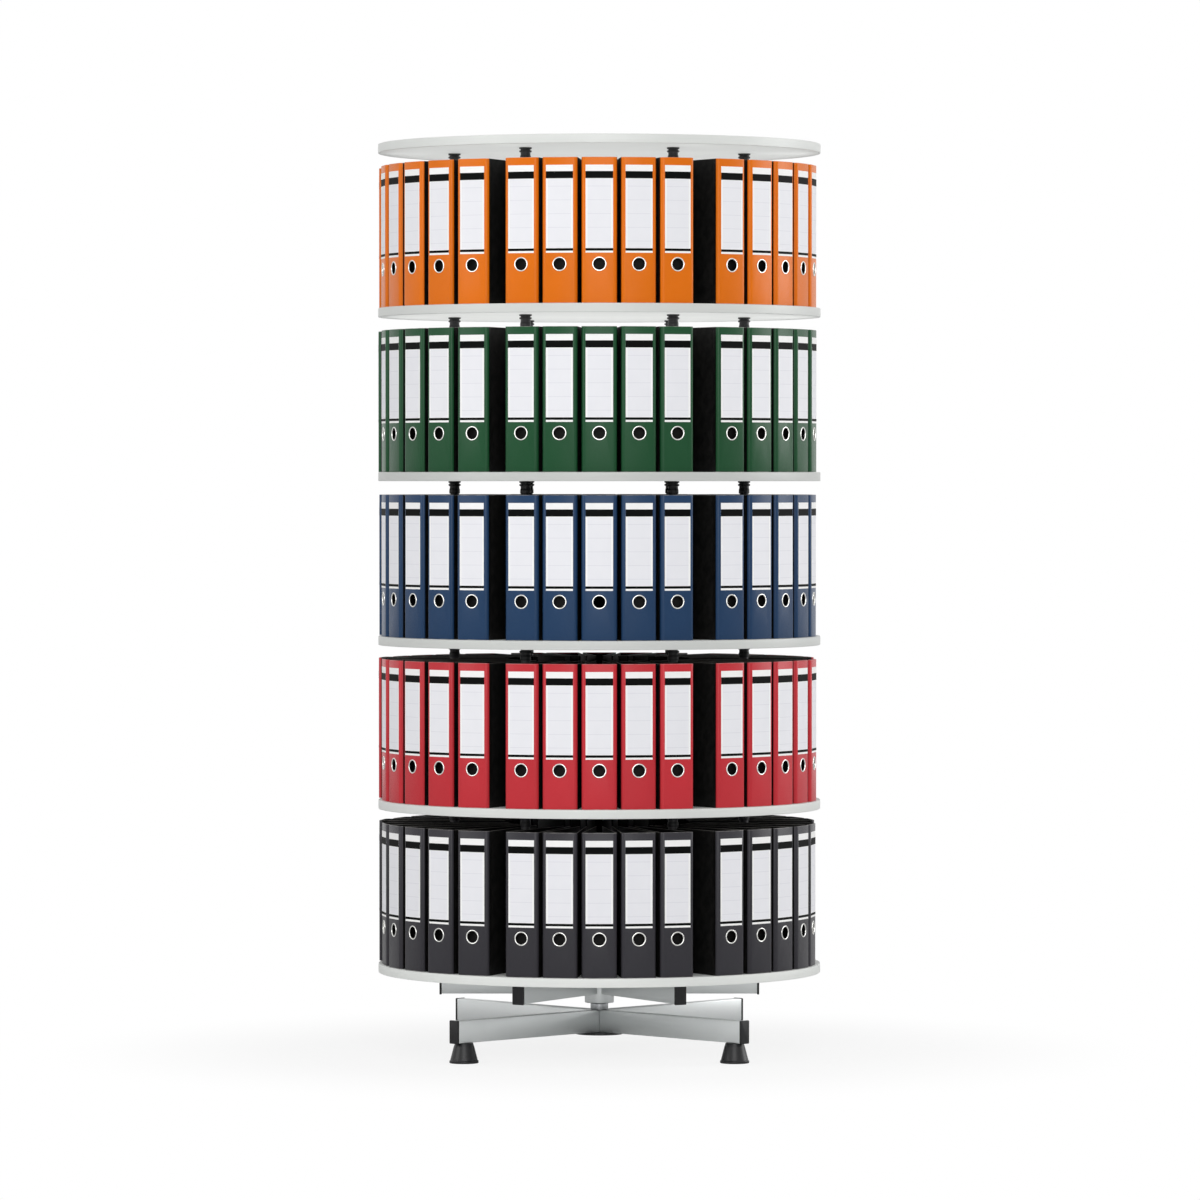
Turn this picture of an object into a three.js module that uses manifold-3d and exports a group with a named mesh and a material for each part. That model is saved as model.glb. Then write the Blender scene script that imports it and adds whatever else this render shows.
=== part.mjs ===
// Rotary filing column: round shelves full of lever-arch files, turning on a four-armed floor cross.
// Millimetres, +Z up, origin on the floor under the spindle, front towards -Y.
import * as THREE from 'three';
import { mergeVertices } from 'three/addons/utils/BufferGeometryUtils.js';
import Module from 'manifold-3d';

const wasm = await Module();
wasm.setup();

// Gaps: between pieces that touch, and between pieces that turn or slide on each other
const SEAT = 0.3;
const RUN = 0.4;

// Boards and tiers
const BOARD_RADIUS = 500;
const BOARD_THICKNESS = 20;
const BOARD_SIDES = 64;
const TIER_COUNT = 5;
const TIER_PITCH = 370;
const LOWEST_SHELF_TOP = 202;
const TOP_COVER_TOP = LOWEST_SHELF_TOP + TIER_COUNT * TIER_PITCH;
const STAR_TOP = LOWEST_SHELF_TOP - BOARD_THICKNESS - SEAT;

// Posts, in six lines between the boards
const POST_COUNT = 6;
const POST_CIRCLE = 327.5;
const POST_SIDES = 8;
const POST_TUBE_RADIUS = 10;
const POST_PEG_RADIUS = 6;
const PEG_HOLE_RADIUS = POST_PEG_RADIUS + RUN;
const COLLAR_FLANGE_RADIUS = 14;
const COLLAR_FLANGE_HEIGHT = 3;
const COLLAR_NECK_RADIUS = 11;
const COLLAR_BEAD_RADIUS = 13.8;
const COLLAR_BEAD_DROP = 8;
const COLLAR_LENGTH = 18;
const COVER_PEG_DEPTH = 10;

// Rectangular tube of the floor cross and the star
const TUBE_WIDTH = 25;
const TUBE_HEIGHT = 50;
const TUBE_WALL = 2;

// Floor cross
const CROSS_BOTTOM = 45;
const CROSS_TOP = CROSS_BOTTOM + TUBE_HEIGHT;
const CROSS_REACH = 452;
const HUB_PLATE_RADIUS = 55;
const HUB_PLATE_THICKNESS = 5;
const CAP_THICKNESS = 5;
const CAP_LIP = 1;
const CAP_PLUG_LENGTH = 18;

// Feet
const FOOT_CIRCLE = 425;
const FOOT_BASE_RADIUS = 32.5;
const FOOT_TOP_RADIUS = 23;
const FOOT_RIM_HEIGHT = 5;
const FOOT_NECK_HEIGHT = 36;
const STUD_RADIUS = 5;
const STUD_TOP = 82;
const FOOT_SIDES = 16;
const ROUND_SIDES = 20;

// Spindle, thrust bearing and hub, from the floor cross upwards
const SPINDLE_RADIUS = 12.5;
const SHOULDER_RADIUS = 20;
const SHOULDER_TOP = 110;
const RACE_RADIUS = 21;
const RACE_HEIGHT = 3;
const RACE_GROOVE = 0.8;
const BALL_RADIUS = 2.8;
const BALL_COUNT = 10;
const BALL_CIRCLE = 17;
const CAGE_HALF_WIDTH = 2.2;
const CAGE_HALF_HEIGHT = 1;
const HUB_RADIUS = 33;
const HUB_BOTTOM = SHOULDER_TOP + 1;
const BUSH_WALL = 3;
const BUSH_BOTTOM = 130;
const BUSH_TOP = 164;
const NUT_BOTTOM = 165.5;
const NUT_HEIGHT = 12;
const NUT_RADIUS = 19;
const NUT_WELL_RADIUS = 23;

// Six-armed star under the lowest shelf
const STAR_BOTTOM = STAR_TOP - TUBE_HEIGHT;
const STAR_REACH = 357;
const STAR_CAP_LIP = 2;

// Lever-arch files: wedges, because the covers close up towards the fore-edge
const FILE_WIDTH = 80;
const FILE_HEIGHT = 319;
const FILE_DEPTH = 285;
const SPINE_CIRCLE = 494;
const COVER_BOARD = 2.5;
const FINGER_HOLE_RADIUS = 11;
const FINGER_HOLE_DROP = 235;
const FINGER_HOLE_SIDES = 16;
const FILES_IN_GROUP = 5;
const FORE_EDGE_TOUCH = 0.25;
const FILE_SLIDE_GAP = 0.8;

// File groups between the posts: middle angle, pitch of the files and the turn of each about its spine, degrees.
// The last file before a front post is turned to clear it. The back groups mirror the front ones.
const FRONT_PITCH = 10.2;
const RIGHT_PITCH = 10.4;
const LEFT_PITCH = 11.35;
const RIGHT_MIDDLE = 57.1;
const LEFT_MIDDLE = -57.35;
const STRAIGHT = [0, 0, 0, 0, 0];
const RIGHT_TURNS = [-1.5, 0, 0, 0, 0];
const LEFT_TURNS = [0, 0.5, 1, 2.5, 7];
const mirrored = (turns) => turns.map((turn) => -turn).reverse();
const FILE_GROUPS = {
  front: { middle: 0, pitch: FRONT_PITCH, turns: STRAIGHT },
  right_front: { middle: RIGHT_MIDDLE, pitch: RIGHT_PITCH, turns: RIGHT_TURNS },
  right_back: { middle: 180 - RIGHT_MIDDLE, pitch: RIGHT_PITCH, turns: mirrored(RIGHT_TURNS) },
  back: { middle: 180, pitch: FRONT_PITCH, turns: STRAIGHT },
  left_back: { middle: -180 - LEFT_MIDDLE, pitch: LEFT_PITCH, turns: mirrored(LEFT_TURNS) },
  left_front: { middle: LEFT_MIDDLE, pitch: LEFT_PITCH, turns: LEFT_TURNS },
};
const PULL_OUT_TIER = 3;

// Finishes: colour, roughness, metalness
const BOARD_WHITE = [0xdfe1df, 0.45, 0];
const SILVER_PAINT = [0xb4b7ba, 0.42, 0.55];
const BLACK_PLASTIC = [0x17181a, 0.5, 0];
const POST_BLACK = [0x202124, 0.45, 0.2];
const BEARING_STEEL = [0x9a9da0, 0.25, 1];
const BRONZE = [0x9c7a45, 0.4, 0.9];
const TIER_FINISHES = [
  [0x3c3c40, 0.55, 0],
  [0xbb2f3b, 0.5, 0],
  [0x2f4a72, 0.5, 0],
  [0x2c6046, 0.5, 0],
  [0xe57a22, 0.5, 0],
];

const column = new THREE.Group();

function addPiece(name, geometry, [color, roughness, metalness]) {
  const material = new THREE.MeshStandardMaterial({ color, roughness, metalness });
  const mesh = new THREE.Mesh(geometry, material);
  mesh.name = name;
  column.add(mesh);
  return mesh;
}

// A closed three.js geometry as a solid that can be joined and cut
function solidOf(geometry) {
  const bare = geometry.index ? geometry.toNonIndexed() : geometry.clone();
  bare.deleteAttribute('normal');
  bare.deleteAttribute('uv');
  const merged = mergeVertices(bare, 1e-4);
  const triVerts = new Uint32Array(merged.index.array);
  const vertProperties = new Float32Array(merged.attributes.position.array);
  return new wasm.Manifold(new wasm.Mesh({ numProp: 3, vertProperties, triVerts }));
}

function geometryOf(solid) {
  const { vertProperties, triVerts } = solid.getMesh();
  const geometry = new THREE.BufferGeometry();
  geometry.setAttribute('position', new THREE.BufferAttribute(new Float32Array(vertProperties), 3));
  geometry.setIndex(new THREE.BufferAttribute(new Uint32Array(triVerts), 1));
  geometry.computeVertexNormals();
  return geometry;
}

function joined(geometries) {
  return geometries.map(solidOf).reduce((whole, next) => whole.add(next));
}

function cut(solid, geometries) {
  return geometries.map(solidOf).reduce((whole, tool) => whole.subtract(tool), solid);
}

// Turned piece about the Z axis from [radius, height] pairs, bottom to top
function turned(profile, sides) {
  const points = profile.map(([radius, height]) => new THREE.Vector2(radius, height));
  return new THREE.LatheGeometry(points, sides).rotateX(Math.PI / 2);
}

function cylinder(radius, bottom, top, sides) {
  return turned([[0, bottom], [radius, bottom], [radius, top], [0, top]], sides);
}

function ringProfile(inner, outer, bottom, top) {
  return [[inner, bottom], [outer, bottom], [outer, top], [inner, top], [inner, bottom]];
}

// Box that lies along a radius: inner and outer reach, width across, bottom and top
function radialBox(inner, outer, width, bottom, top) {
  const box = new THREE.BoxGeometry(width, outer - inner, top - bottom);
  return box.translate(0, -(inner + outer) / 2, (bottom + top) / 2);
}

// Turns a piece that faces the front to stand at an angle round the column, from the front towards the right
function swung(geometry, degrees) {
  return geometry.rotateZ(THREE.MathUtils.degToRad(degrees));
}

function shelfTop(tier) {
  return LOWEST_SHELF_TOP + (tier - 1) * TIER_PITCH;
}

const CROSS_ANGLES = [45, 135, 225, 315];
const POST_ANGLES = Array.from({ length: POST_COUNT }, (_, i) => 30 + (i * 360) / POST_COUNT);

function buildFloorCross() {
  const arms = CROSS_ANGLES.map((angle) =>
    swung(radialBox(0, CROSS_REACH, TUBE_WIDTH, CROSS_BOTTOM, CROSS_TOP), angle));
  // Past the middle by a tube's width, so that opposite arms run through each other
  const bores = CROSS_ANGLES.map((angle) => swung(radialBox(
    -TUBE_WIDTH, CROSS_REACH + 1, TUBE_WIDTH - 2 * TUBE_WALL,
    CROSS_BOTTOM + TUBE_WALL, CROSS_TOP - TUBE_WALL), angle));
  const plateBottom = CROSS_BOTTOM - HUB_PLATE_THICKNESS;
  const plate = cylinder(HUB_PLATE_RADIUS, plateBottom, CROSS_BOTTOM + TUBE_WALL / 2, ROUND_SIDES);
  const sleeve = cylinder(SHOULDER_RADIUS, plateBottom, CROSS_TOP - TUBE_WALL / 2, ROUND_SIDES);
  const spindleBore = cylinder(SPINDLE_RADIUS + SEAT, plateBottom - 1, CROSS_TOP + 1, ROUND_SIDES);
  const studHoles = CROSS_ANGLES.map((angle) => swung(cylinder(
    STUD_RADIUS + RUN, CROSS_BOTTOM - 1, CROSS_BOTTOM + TUBE_WALL + 1, ROUND_SIDES / 2,
  ).translate(0, -FOOT_CIRCLE, 0), angle));
  const hollow = cut(joined([...arms, plate]), bores);
  const welded = hollow.add(solidOf(sleeve));
  addPiece('base_cross', geometryOf(cut(welded, [spindleBore, ...studHoles])), SILVER_PAINT);
}

function buildFloorCrossEnds() {
  const plugWidth = TUBE_WIDTH - 2 * TUBE_WALL - 2 * SEAT;
  const plugBottom = CROSS_BOTTOM + TUBE_WALL + SEAT;
  const plugTop = CROSS_TOP - TUBE_WALL - SEAT;
  CROSS_ANGLES.forEach((angle, i) => {
    const face = CROSS_REACH + SEAT;
    const cap = joined([
      radialBox(face, face + CAP_THICKNESS, TUBE_WIDTH + 2 * CAP_LIP, CROSS_BOTTOM - CAP_LIP, CROSS_TOP + CAP_LIP),
      radialBox(face - CAP_PLUG_LENGTH, face + 1, plugWidth, plugBottom, plugTop),
    ]);
    // The foot's stud stands inside the tube, beyond the plug's end
    addPiece(`base_cap_${i + 1}`, swung(geometryOf(cap), angle), BLACK_PLASTIC);
    const neckTop = CROSS_BOTTOM - SEAT;
    const foot = turned([
      [0, 0],
      [FOOT_BASE_RADIUS, 0],
      [FOOT_BASE_RADIUS, FOOT_RIM_HEIGHT],
      [FOOT_TOP_RADIUS, FOOT_NECK_HEIGHT],
      [FOOT_TOP_RADIUS - 3, neckTop],
      [STUD_RADIUS, neckTop],
      [STUD_RADIUS, STUD_TOP],
      [0, STUD_TOP],
    ], FOOT_SIDES);
    addPiece(`foot_${i + 1}`, swung(foot.translate(0, -FOOT_CIRCLE, 0), angle), BLACK_PLASTIC);
  });
}

function buildPivot() {
  const spindleTop = NUT_BOTTOM + NUT_HEIGHT + 2;
  addPiece('pivot_spindle', turned([
    [0, CROSS_BOTTOM - HUB_PLATE_THICKNESS],
    [SPINDLE_RADIUS, CROSS_BOTTOM - HUB_PLATE_THICKNESS],
    [SPINDLE_RADIUS, CROSS_TOP + SEAT],
    [SHOULDER_RADIUS, CROSS_TOP + SEAT],
    [SHOULDER_RADIUS, SHOULDER_TOP],
    [SPINDLE_RADIUS, SHOULDER_TOP],
    [SPINDLE_RADIUS, spindleTop - 2],
    [SPINDLE_RADIUS - 2, spindleTop],
    [0, spindleTop],
  ], ROUND_SIDES), BEARING_STEEL);

  // Thrust bearing: two grooved races with a cage of balls between them
  const raceBore = SPINDLE_RADIUS + SEAT;
  const lowerTop = SHOULDER_TOP + SEAT + RACE_HEIGHT;
  const ballMiddle = lowerTop + SEAT + BALL_RADIUS - RACE_GROOVE;
  const upperBottom = 2 * ballMiddle - lowerTop;
  const grooveSide = BALL_RADIUS - 0.6;
  const grooved = (flat, face, depth) => [
    [raceBore, flat],
    [RACE_RADIUS, flat],
    [RACE_RADIUS, face],
    [BALL_CIRCLE + grooveSide, face],
    [BALL_CIRCLE, face + depth],
    [BALL_CIRCLE - grooveSide, face],
    [raceBore, face],
    [raceBore, flat],
  ];
  const lowerRace = turned(grooved(SHOULDER_TOP + SEAT, lowerTop, -RACE_GROOVE), ROUND_SIDES);
  addPiece('bearing_lower_race', lowerRace, BEARING_STEEL);
  const upperTop = upperBottom + RACE_HEIGHT;
  const upperProfile = grooved(upperTop, upperBottom, RACE_GROOVE).reverse();
  addPiece('bearing_upper_race', turned(upperProfile, ROUND_SIDES), BEARING_STEEL);

  const cageRing = turned(ringProfile(
    BALL_CIRCLE - CAGE_HALF_WIDTH, BALL_CIRCLE + CAGE_HALF_WIDTH,
    ballMiddle - CAGE_HALF_HEIGHT, ballMiddle + CAGE_HALF_HEIGHT,
  ), ROUND_SIDES);
  const balls = Array.from({ length: BALL_COUNT }, (_, i) => {
    const ball = new THREE.SphereGeometry(BALL_RADIUS - SEAT, 5, 3).rotateX(Math.PI / 2);
    return swung(ball.translate(0, -BALL_CIRCLE, ballMiddle), (i * 360) / BALL_COUNT);
  });
  addPiece('bearing_ball_cage', geometryOf(joined([cageRing, ...balls])), BRONZE);

  const bushBore = SPINDLE_RADIUS + RUN;
  addPiece('guide_bush', turned(
    ringProfile(bushBore, bushBore + BUSH_WALL, BUSH_BOTTOM, BUSH_TOP), ROUND_SIDES), BRONZE);

  const nutBlank = cylinder(NUT_RADIUS, NUT_BOTTOM, NUT_BOTTOM + NUT_HEIGHT, 6);
  const nutBore = cylinder(SPINDLE_RADIUS + SEAT, NUT_BOTTOM - 1, NUT_BOTTOM + NUT_HEIGHT + 1, ROUND_SIDES);
  addPiece('spindle_nut', geometryOf(cut(solidOf(nutBlank), [nutBore])), BEARING_STEEL);
  return upperTop;
}

// Star of six arms round the hub sleeve, with its end caps pushed home
function buildStar(bearingTop) {
  const arms = POST_ANGLES.map((angle) =>
    swung(radialBox(0, STAR_REACH + 1, TUBE_WIDTH, STAR_BOTTOM, STAR_TOP), angle));
  const caps = POST_ANGLES.map((angle) => swung(radialBox(
    STAR_REACH, STAR_REACH + CAP_THICKNESS, TUBE_WIDTH + 2 * STAR_CAP_LIP,
    STAR_BOTTOM - STAR_CAP_LIP, STAR_TOP), angle));
  const sleeve = cylinder(HUB_RADIUS, HUB_BOTTOM, STAR_TOP, ROUND_SIDES);
  const bearingSeat = bearingTop + SEAT;
  const bushRadius = SPINDLE_RADIUS + RUN + BUSH_WALL + SEAT;
  const core = turned([
    [0, HUB_BOTTOM - 1],
    [RACE_RADIUS + RUN, HUB_BOTTOM - 1],
    [RACE_RADIUS + RUN, bearingSeat],
    [SPINDLE_RADIUS + 2 * RUN, bearingSeat],
    [SPINDLE_RADIUS + 2 * RUN, BUSH_BOTTOM - SEAT],
    [bushRadius, BUSH_BOTTOM - SEAT],
    [bushRadius, BUSH_TOP],
    [NUT_WELL_RADIUS, BUSH_TOP],
    [NUT_WELL_RADIUS, STAR_TOP + 1],
    [0, STAR_TOP + 1],
  ], ROUND_SIDES);
  addPiece('turntable_star', geometryOf(cut(joined([sleeve, ...arms, ...caps]), [core])), SILVER_PAINT);
}

function boardBlank(top) {
  return cylinder(BOARD_RADIUS, top - BOARD_THICKNESS, top, BOARD_SIDES);
}

function pegHoles(bottom, top) {
  return POST_ANGLES.map((angle) => swung(
    cylinder(PEG_HOLE_RADIUS, bottom, top, POST_SIDES).translate(0, -POST_CIRCLE, 0), angle));
}

function buildBoards() {
  for (let tier = 1; tier <= TIER_COUNT; tier += 1) {
    const top = shelfTop(tier);
    const holes = pegHoles(top - BOARD_THICKNESS - 1, top + 1);
    addPiece(`shelf_${tier}`, geometryOf(cut(solidOf(boardBlank(top)), holes)), BOARD_WHITE);
  }
  const coverBottom = TOP_COVER_TOP - BOARD_THICKNESS;
  const sockets = pegHoles(coverBottom - 1, coverBottom + COVER_PEG_DEPTH + SEAT);
  const cover = cut(solidOf(boardBlank(TOP_COVER_TOP)), sockets);
  addPiece('top_cover', geometryOf(cover), BOARD_WHITE);
}

// One line of posts from the lowest shelf to the top cover: tubes, collars and the pegs through the boards
function postProfile() {
  const profile = [[0, shelfTop(1) - BOARD_THICKNESS]];
  profile.push([POST_PEG_RADIUS, shelfTop(1) - BOARD_THICKNESS]);
  for (let tier = 1; tier <= TIER_COUNT; tier += 1) {
    const foot = shelfTop(tier) + SEAT;
    const head = shelfTop(tier) + TIER_PITCH - BOARD_THICKNESS - SEAT;
    profile.push(
      [POST_PEG_RADIUS, foot],
      [POST_TUBE_RADIUS, foot],
      [POST_TUBE_RADIUS, head - COLLAR_LENGTH],
      [COLLAR_NECK_RADIUS, head - COLLAR_BEAD_DROP - 2],
      [COLLAR_BEAD_RADIUS, head - COLLAR_BEAD_DROP],
      [COLLAR_NECK_RADIUS, head - COLLAR_BEAD_DROP + 2],
      [COLLAR_FLANGE_RADIUS, head - COLLAR_FLANGE_HEIGHT],
      [COLLAR_FLANGE_RADIUS, head],
      [POST_PEG_RADIUS, head],
    );
  }
  const pegTop = TOP_COVER_TOP - BOARD_THICKNESS + COVER_PEG_DEPTH;
  profile.push([POST_PEG_RADIUS, pegTop], [0, pegTop]);
  return profile;
}

function buildPosts() {
  POST_ANGLES.forEach((angle, i) => {
    const post = turned(postProfile(), POST_SIDES).translate(0, -POST_CIRCLE, 0);
    addPiece(`post_${i + 1}`, swung(post, angle), POST_BLACK);
  });
}

// Half thickness at the fore-edge at which neighbours in a fan just touch
function foreHalf(pitch) {
  const foreCircle = SPINE_CIRCLE - FILE_DEPTH;
  return foreCircle * Math.tan(THREE.MathUtils.degToRad(pitch / 2)) + FORE_EDGE_TOUCH;
}

// Plan of a full file seen from above, the spine on the X axis and the fore-edge towards +Y:
// covers, spine and sheets together make one wedge
function filePlan(halfFore) {
  const half = FILE_WIDTH / 2;
  return [[-half, 0], [half, 0], [halfFore, FILE_DEPTH], [-halfFore, FILE_DEPTH]];
}

function uprightPrism(plan, height) {
  const shape = new THREE.Shape(plan.map(([x, y]) => new THREE.Vector2(x, y)));
  return new THREE.ExtrudeGeometry(shape, { depth: height, bevelEnabled: false });
}

// Sets a file with its spine on the spine circle, facing out at an angle, turned about its own spine
function stood(file, angle, turn) {
  const position = THREE.MathUtils.degToRad(angle);
  const facing = THREE.MathUtils.degToRad(angle + turn);
  const x = SPINE_CIRCLE * Math.sin(position);
  const y = -SPINE_CIRCLE * Math.cos(position);
  return file.rotateZ(facing).translate(x, y, 0);
}

// Files of a group by their number, 0 to 4, joined where their fore-edges meet
function fileBlock({ middle, pitch, turns }, numbers) {
  const file = uprightPrism(filePlan(foreHalf(pitch)), FILE_HEIGHT);
  const centre = (FILES_IN_GROUP - 1) / 2;
  const files = numbers.map((number) =>
    stood(file.clone(), middle + (number - centre) * pitch, turns[number]));
  return geometryOf(joined(files));
}

// The file that can be drawn out: an open shell of spine and covers with its finger hole
function pullOutFile() {
  const half = FILE_WIDTH / 2;
  const halfFore = foreHalf(FRONT_PITCH) - FORE_EDGE_TOUCH - FILE_SLIDE_GAP;
  const slope = (half - halfFore) / FILE_DEPTH;
  const innerFront = half - COVER_BOARD - slope * COVER_BOARD;
  const innerFore = halfFore - COVER_BOARD;
  const shell = uprightPrism([
    [-half, 0],
    [half, 0],
    [halfFore, FILE_DEPTH],
    [innerFore, FILE_DEPTH],
    [innerFront, COVER_BOARD],
    [-innerFront, COVER_BOARD],
    [-innerFore, FILE_DEPTH],
    [-halfFore, FILE_DEPTH],
  ], FILE_HEIGHT);
  const drill = new THREE.CylinderGeometry(
    FINGER_HOLE_RADIUS, FINGER_HOLE_RADIUS, 4 * COVER_BOARD, FINGER_HOLE_SIDES);
  const file = cut(solidOf(shell), [drill.translate(0, 0, FILE_HEIGHT - FINGER_HOLE_DROP)]);
  return stood(geometryOf(file), FILE_GROUPS.front.middle, 0);
}

function buildFiles() {
  const everyNumber = Array.from({ length: FILES_IN_GROUP }, (_, i) => i);
  const blocks = Object.entries(FILE_GROUPS).map(([name, group]) => [name, fileBlock(group, everyNumber)]);
  const frontPairs = [
    ['front_left', fileBlock(FILE_GROUPS.front, [0, 1])],
    ['front_right', fileBlock(FILE_GROUPS.front, [3, 4])],
  ];
  for (let tier = 1; tier <= TIER_COUNT; tier += 1) {
    const finish = TIER_FINISHES[tier - 1];
    const standing = tier === PULL_OUT_TIER
      ? [...frontPairs, ...blocks.filter(([name]) => name !== 'front')]
      : blocks;
    for (const [name, block] of standing) {
      addPiece(`files_${tier}_${name}`, block, finish).position.z = shelfTop(tier) + SEAT;
    }
  }
  const drawn = addPiece('pull_out_file', pullOutFile(), TIER_FINISHES[PULL_OUT_TIER - 1]);
  drawn.position.z = shelfTop(PULL_OUT_TIER) + SEAT;
}

buildFloorCross();
buildFloorCrossEnds();
buildStar(buildPivot());
buildBoards();
buildPosts();
buildFiles();

export default column;
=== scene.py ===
# %% [markdown]
# Rotary filing column: five round shelves of lever-arch files, six lines of posts between them, and
# a six-armed star that turns on a four-armed floor cross.
# The solids arrive as a fixed frame, in metres, with the front towards -Y. This lesson dresses them:
# each step makes one kind of piece, gives it a finish and hangs it on the body that carries it.

# %% Load the frame
import math

import bmesh
import bpy
from mathutils import Matrix, Vector


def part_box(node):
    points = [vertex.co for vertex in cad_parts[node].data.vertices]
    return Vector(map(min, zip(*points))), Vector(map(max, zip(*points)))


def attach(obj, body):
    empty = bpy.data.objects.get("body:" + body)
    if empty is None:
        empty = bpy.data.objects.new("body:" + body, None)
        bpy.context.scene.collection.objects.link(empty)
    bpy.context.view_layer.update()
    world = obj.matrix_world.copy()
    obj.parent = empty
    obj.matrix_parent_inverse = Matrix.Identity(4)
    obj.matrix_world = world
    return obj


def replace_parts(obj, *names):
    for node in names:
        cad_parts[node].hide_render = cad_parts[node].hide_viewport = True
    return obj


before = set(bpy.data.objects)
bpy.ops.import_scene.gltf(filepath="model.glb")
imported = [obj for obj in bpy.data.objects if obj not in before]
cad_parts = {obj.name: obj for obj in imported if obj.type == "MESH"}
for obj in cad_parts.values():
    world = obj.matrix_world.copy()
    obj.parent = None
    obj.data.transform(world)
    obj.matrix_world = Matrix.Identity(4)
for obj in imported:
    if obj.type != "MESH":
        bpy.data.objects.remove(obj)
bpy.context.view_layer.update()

MM = 0.001
TIERS = (1, 2, 3, 4, 5)
shelf_tops = {tier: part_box(f"shelf_{tier}")[1].z for tier in TIERS}
board_low, board_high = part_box("shelf_1")
board_radius = board_high.x
board_thickness = board_high.z - board_low.z
tier_pitch = shelf_tops[2] - shelf_tops[1]
print("boards", round(2 * board_radius, 3), "m across, a tier every", round(tier_pitch, 3), "m")

# %% [markdown]
# The photograph was taken from far away with a long lens: the shelves below eye level show a sliver
# of their tops, those above a sliver of their undersides, and upright lines stay upright. A camera
# 15 m in front, tilted down by about a degree, gives the same slivers without any lens shift.

# %% Camera
CAMERA_DISTANCE = 15.0
CAMERA_SIDE = 1.5 * MM
EYE_HEIGHT = 1.299
AIM_HEIGHT = 1.0228
LENS_MM = 198.84
SENSOR_MM = 36.0


def stand_camera():
    camera = bpy.data.objects.new("photo_camera", bpy.data.cameras.new("photo_camera"))
    camera.data.lens = LENS_MM
    camera.data.sensor_width = SENSOR_MM
    camera.location = (CAMERA_SIDE, -CAMERA_DISTANCE, EYE_HEIGHT)
    line_of_sight = Vector((CAMERA_SIDE, 0.0, AIM_HEIGHT)) - camera.location
    camera.rotation_euler = line_of_sight.to_track_quat("-Z", "Y").to_euler()
    bpy.context.scene.collection.objects.link(camera)
    bpy.context.scene.camera = camera
    bpy.context.scene.view_settings.view_transform = "Standard"
    return camera


tilt = math.pi / 2 - stand_camera().rotation_euler.x
print("camera looks down", round(math.degrees(tilt), 2), "degrees")

# %% [markdown]
# Shader networks are easier to read as sums than as boxes and noodles. A Wire is one socket of a node
# tree, and arithmetic on wires adds Math nodes behind the scenes. The same class builds the Geometry
# Nodes trees later, because both kinds of tree share their maths nodes.


# %% Wires
class Wire:
    """One socket of a node tree. Sums on wires add Math nodes to that tree."""

    def __init__(self, tree, socket=None):
        self.tree = tree
        self.socket = socket

    def node(self, kind, settings=None, sockets=None, out=0):
        """Adds a node: its settings come first, then the values or links of its sockets."""
        made = self.tree.nodes.new(kind)
        for key, value in (settings or {}).items():
            setattr(made, key, value)
        for key, value in (sockets or {}).items():
            if isinstance(value, Wire):
                self.tree.links.new(value.socket, made.inputs[key])
            else:
                made.inputs[key].default_value = value
        return Wire(self.tree, made.outputs[out] if made.outputs else None)

    def math(self, operation, other=0.0):
        return self.node("ShaderNodeMath", {"operation": operation}, {0: self, 1: other})

    def __add__(self, other):
        return self.math("ADD", other)

    __radd__ = __add__

    def __sub__(self, other):
        return self.math("SUBTRACT", other)

    def __rsub__(self, other):
        return self.node("ShaderNodeMath", {"operation": "SUBTRACT"}, {0: other, 1: self})

    def __mul__(self, other):
        return self.math("MULTIPLY", other)

    def __truediv__(self, other):
        return self.math("DIVIDE", other)

    def __mod__(self, other):
        return self.math("FLOORED_MODULO", other)

    def __abs__(self):
        return self.math("ABSOLUTE")

    def ramp(self, low, high):
        """0 below low, 1 above high and a smooth rise between them."""
        limits = {"Value": self, "From Min": low, "From Max": high}
        return self.node("ShaderNodeMapRange", {"interpolation_type": "SMOOTHSTEP"}, limits)

    def part(self, axis):
        """The X, Y or Z of a vector."""
        return self.node("ShaderNodeSeparateXYZ", None, {0: self}, out=axis)

    def stretched(self, x, y, z):
        """A place with its axes scaled, to draw a pattern out along one of them."""
        sockets = {0: self, 1: (x, y, z)}
        return self.node("ShaderNodeVectorMath", {"operation": "MULTIPLY"}, sockets)

    def noise(self, scale, detail=2.0, roughness=0.5):
        sockets = {"Vector": self, "Scale": scale, "Detail": detail, "Roughness": roughness}
        return self.node("ShaderNodeTexNoise", None, sockets)

    def cells(self, scale):
        """Distance to the nearest of many scattered points, for pebbled grain."""
        sockets = {"Vector": self, "Scale": scale}
        return self.node("ShaderNodeTexVoronoi", None, sockets, out="Distance")

    def mixed(self, first, second):
        """One colour where this mask is 0 and the other where it is 1."""
        sockets = {0: self, 6: first, 7: second}
        return self.node("ShaderNodeMix", {"data_type": "RGBA"}, sockets, out=2)

    def bump(self, depth, strength):
        """A normal that follows this height, which is 1 at depth metres."""
        sockets = {"Height": self, "Distance": depth, "Strength": strength}
        return self.node("ShaderNodeBump", None, sockets)


print("wires ready")

# %% [markdown]
# Every finish starts the same way: a material, its Principled shader and a place to hang patterns on.
# The place is the Object coordinate, so a pattern has a real size in metres and stays on its piece.
# Colours are written as they look on a screen and turned into light here. A piece can also carry an
# attribute of its own, and a finish that asks for it follows the piece wherever it is set.


# %% Colours and finishes
def tint(red, green, blue):
    """A colour as it is seen on a screen, 0 to 255, as the light that a shader works with."""

    def light(level):
        share = level / 255
        return share / 12.92 if share <= 0.04045 else ((share + 0.055) / 1.055) ** 2.4

    return (light(red), light(green), light(blue), 1.0)


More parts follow.
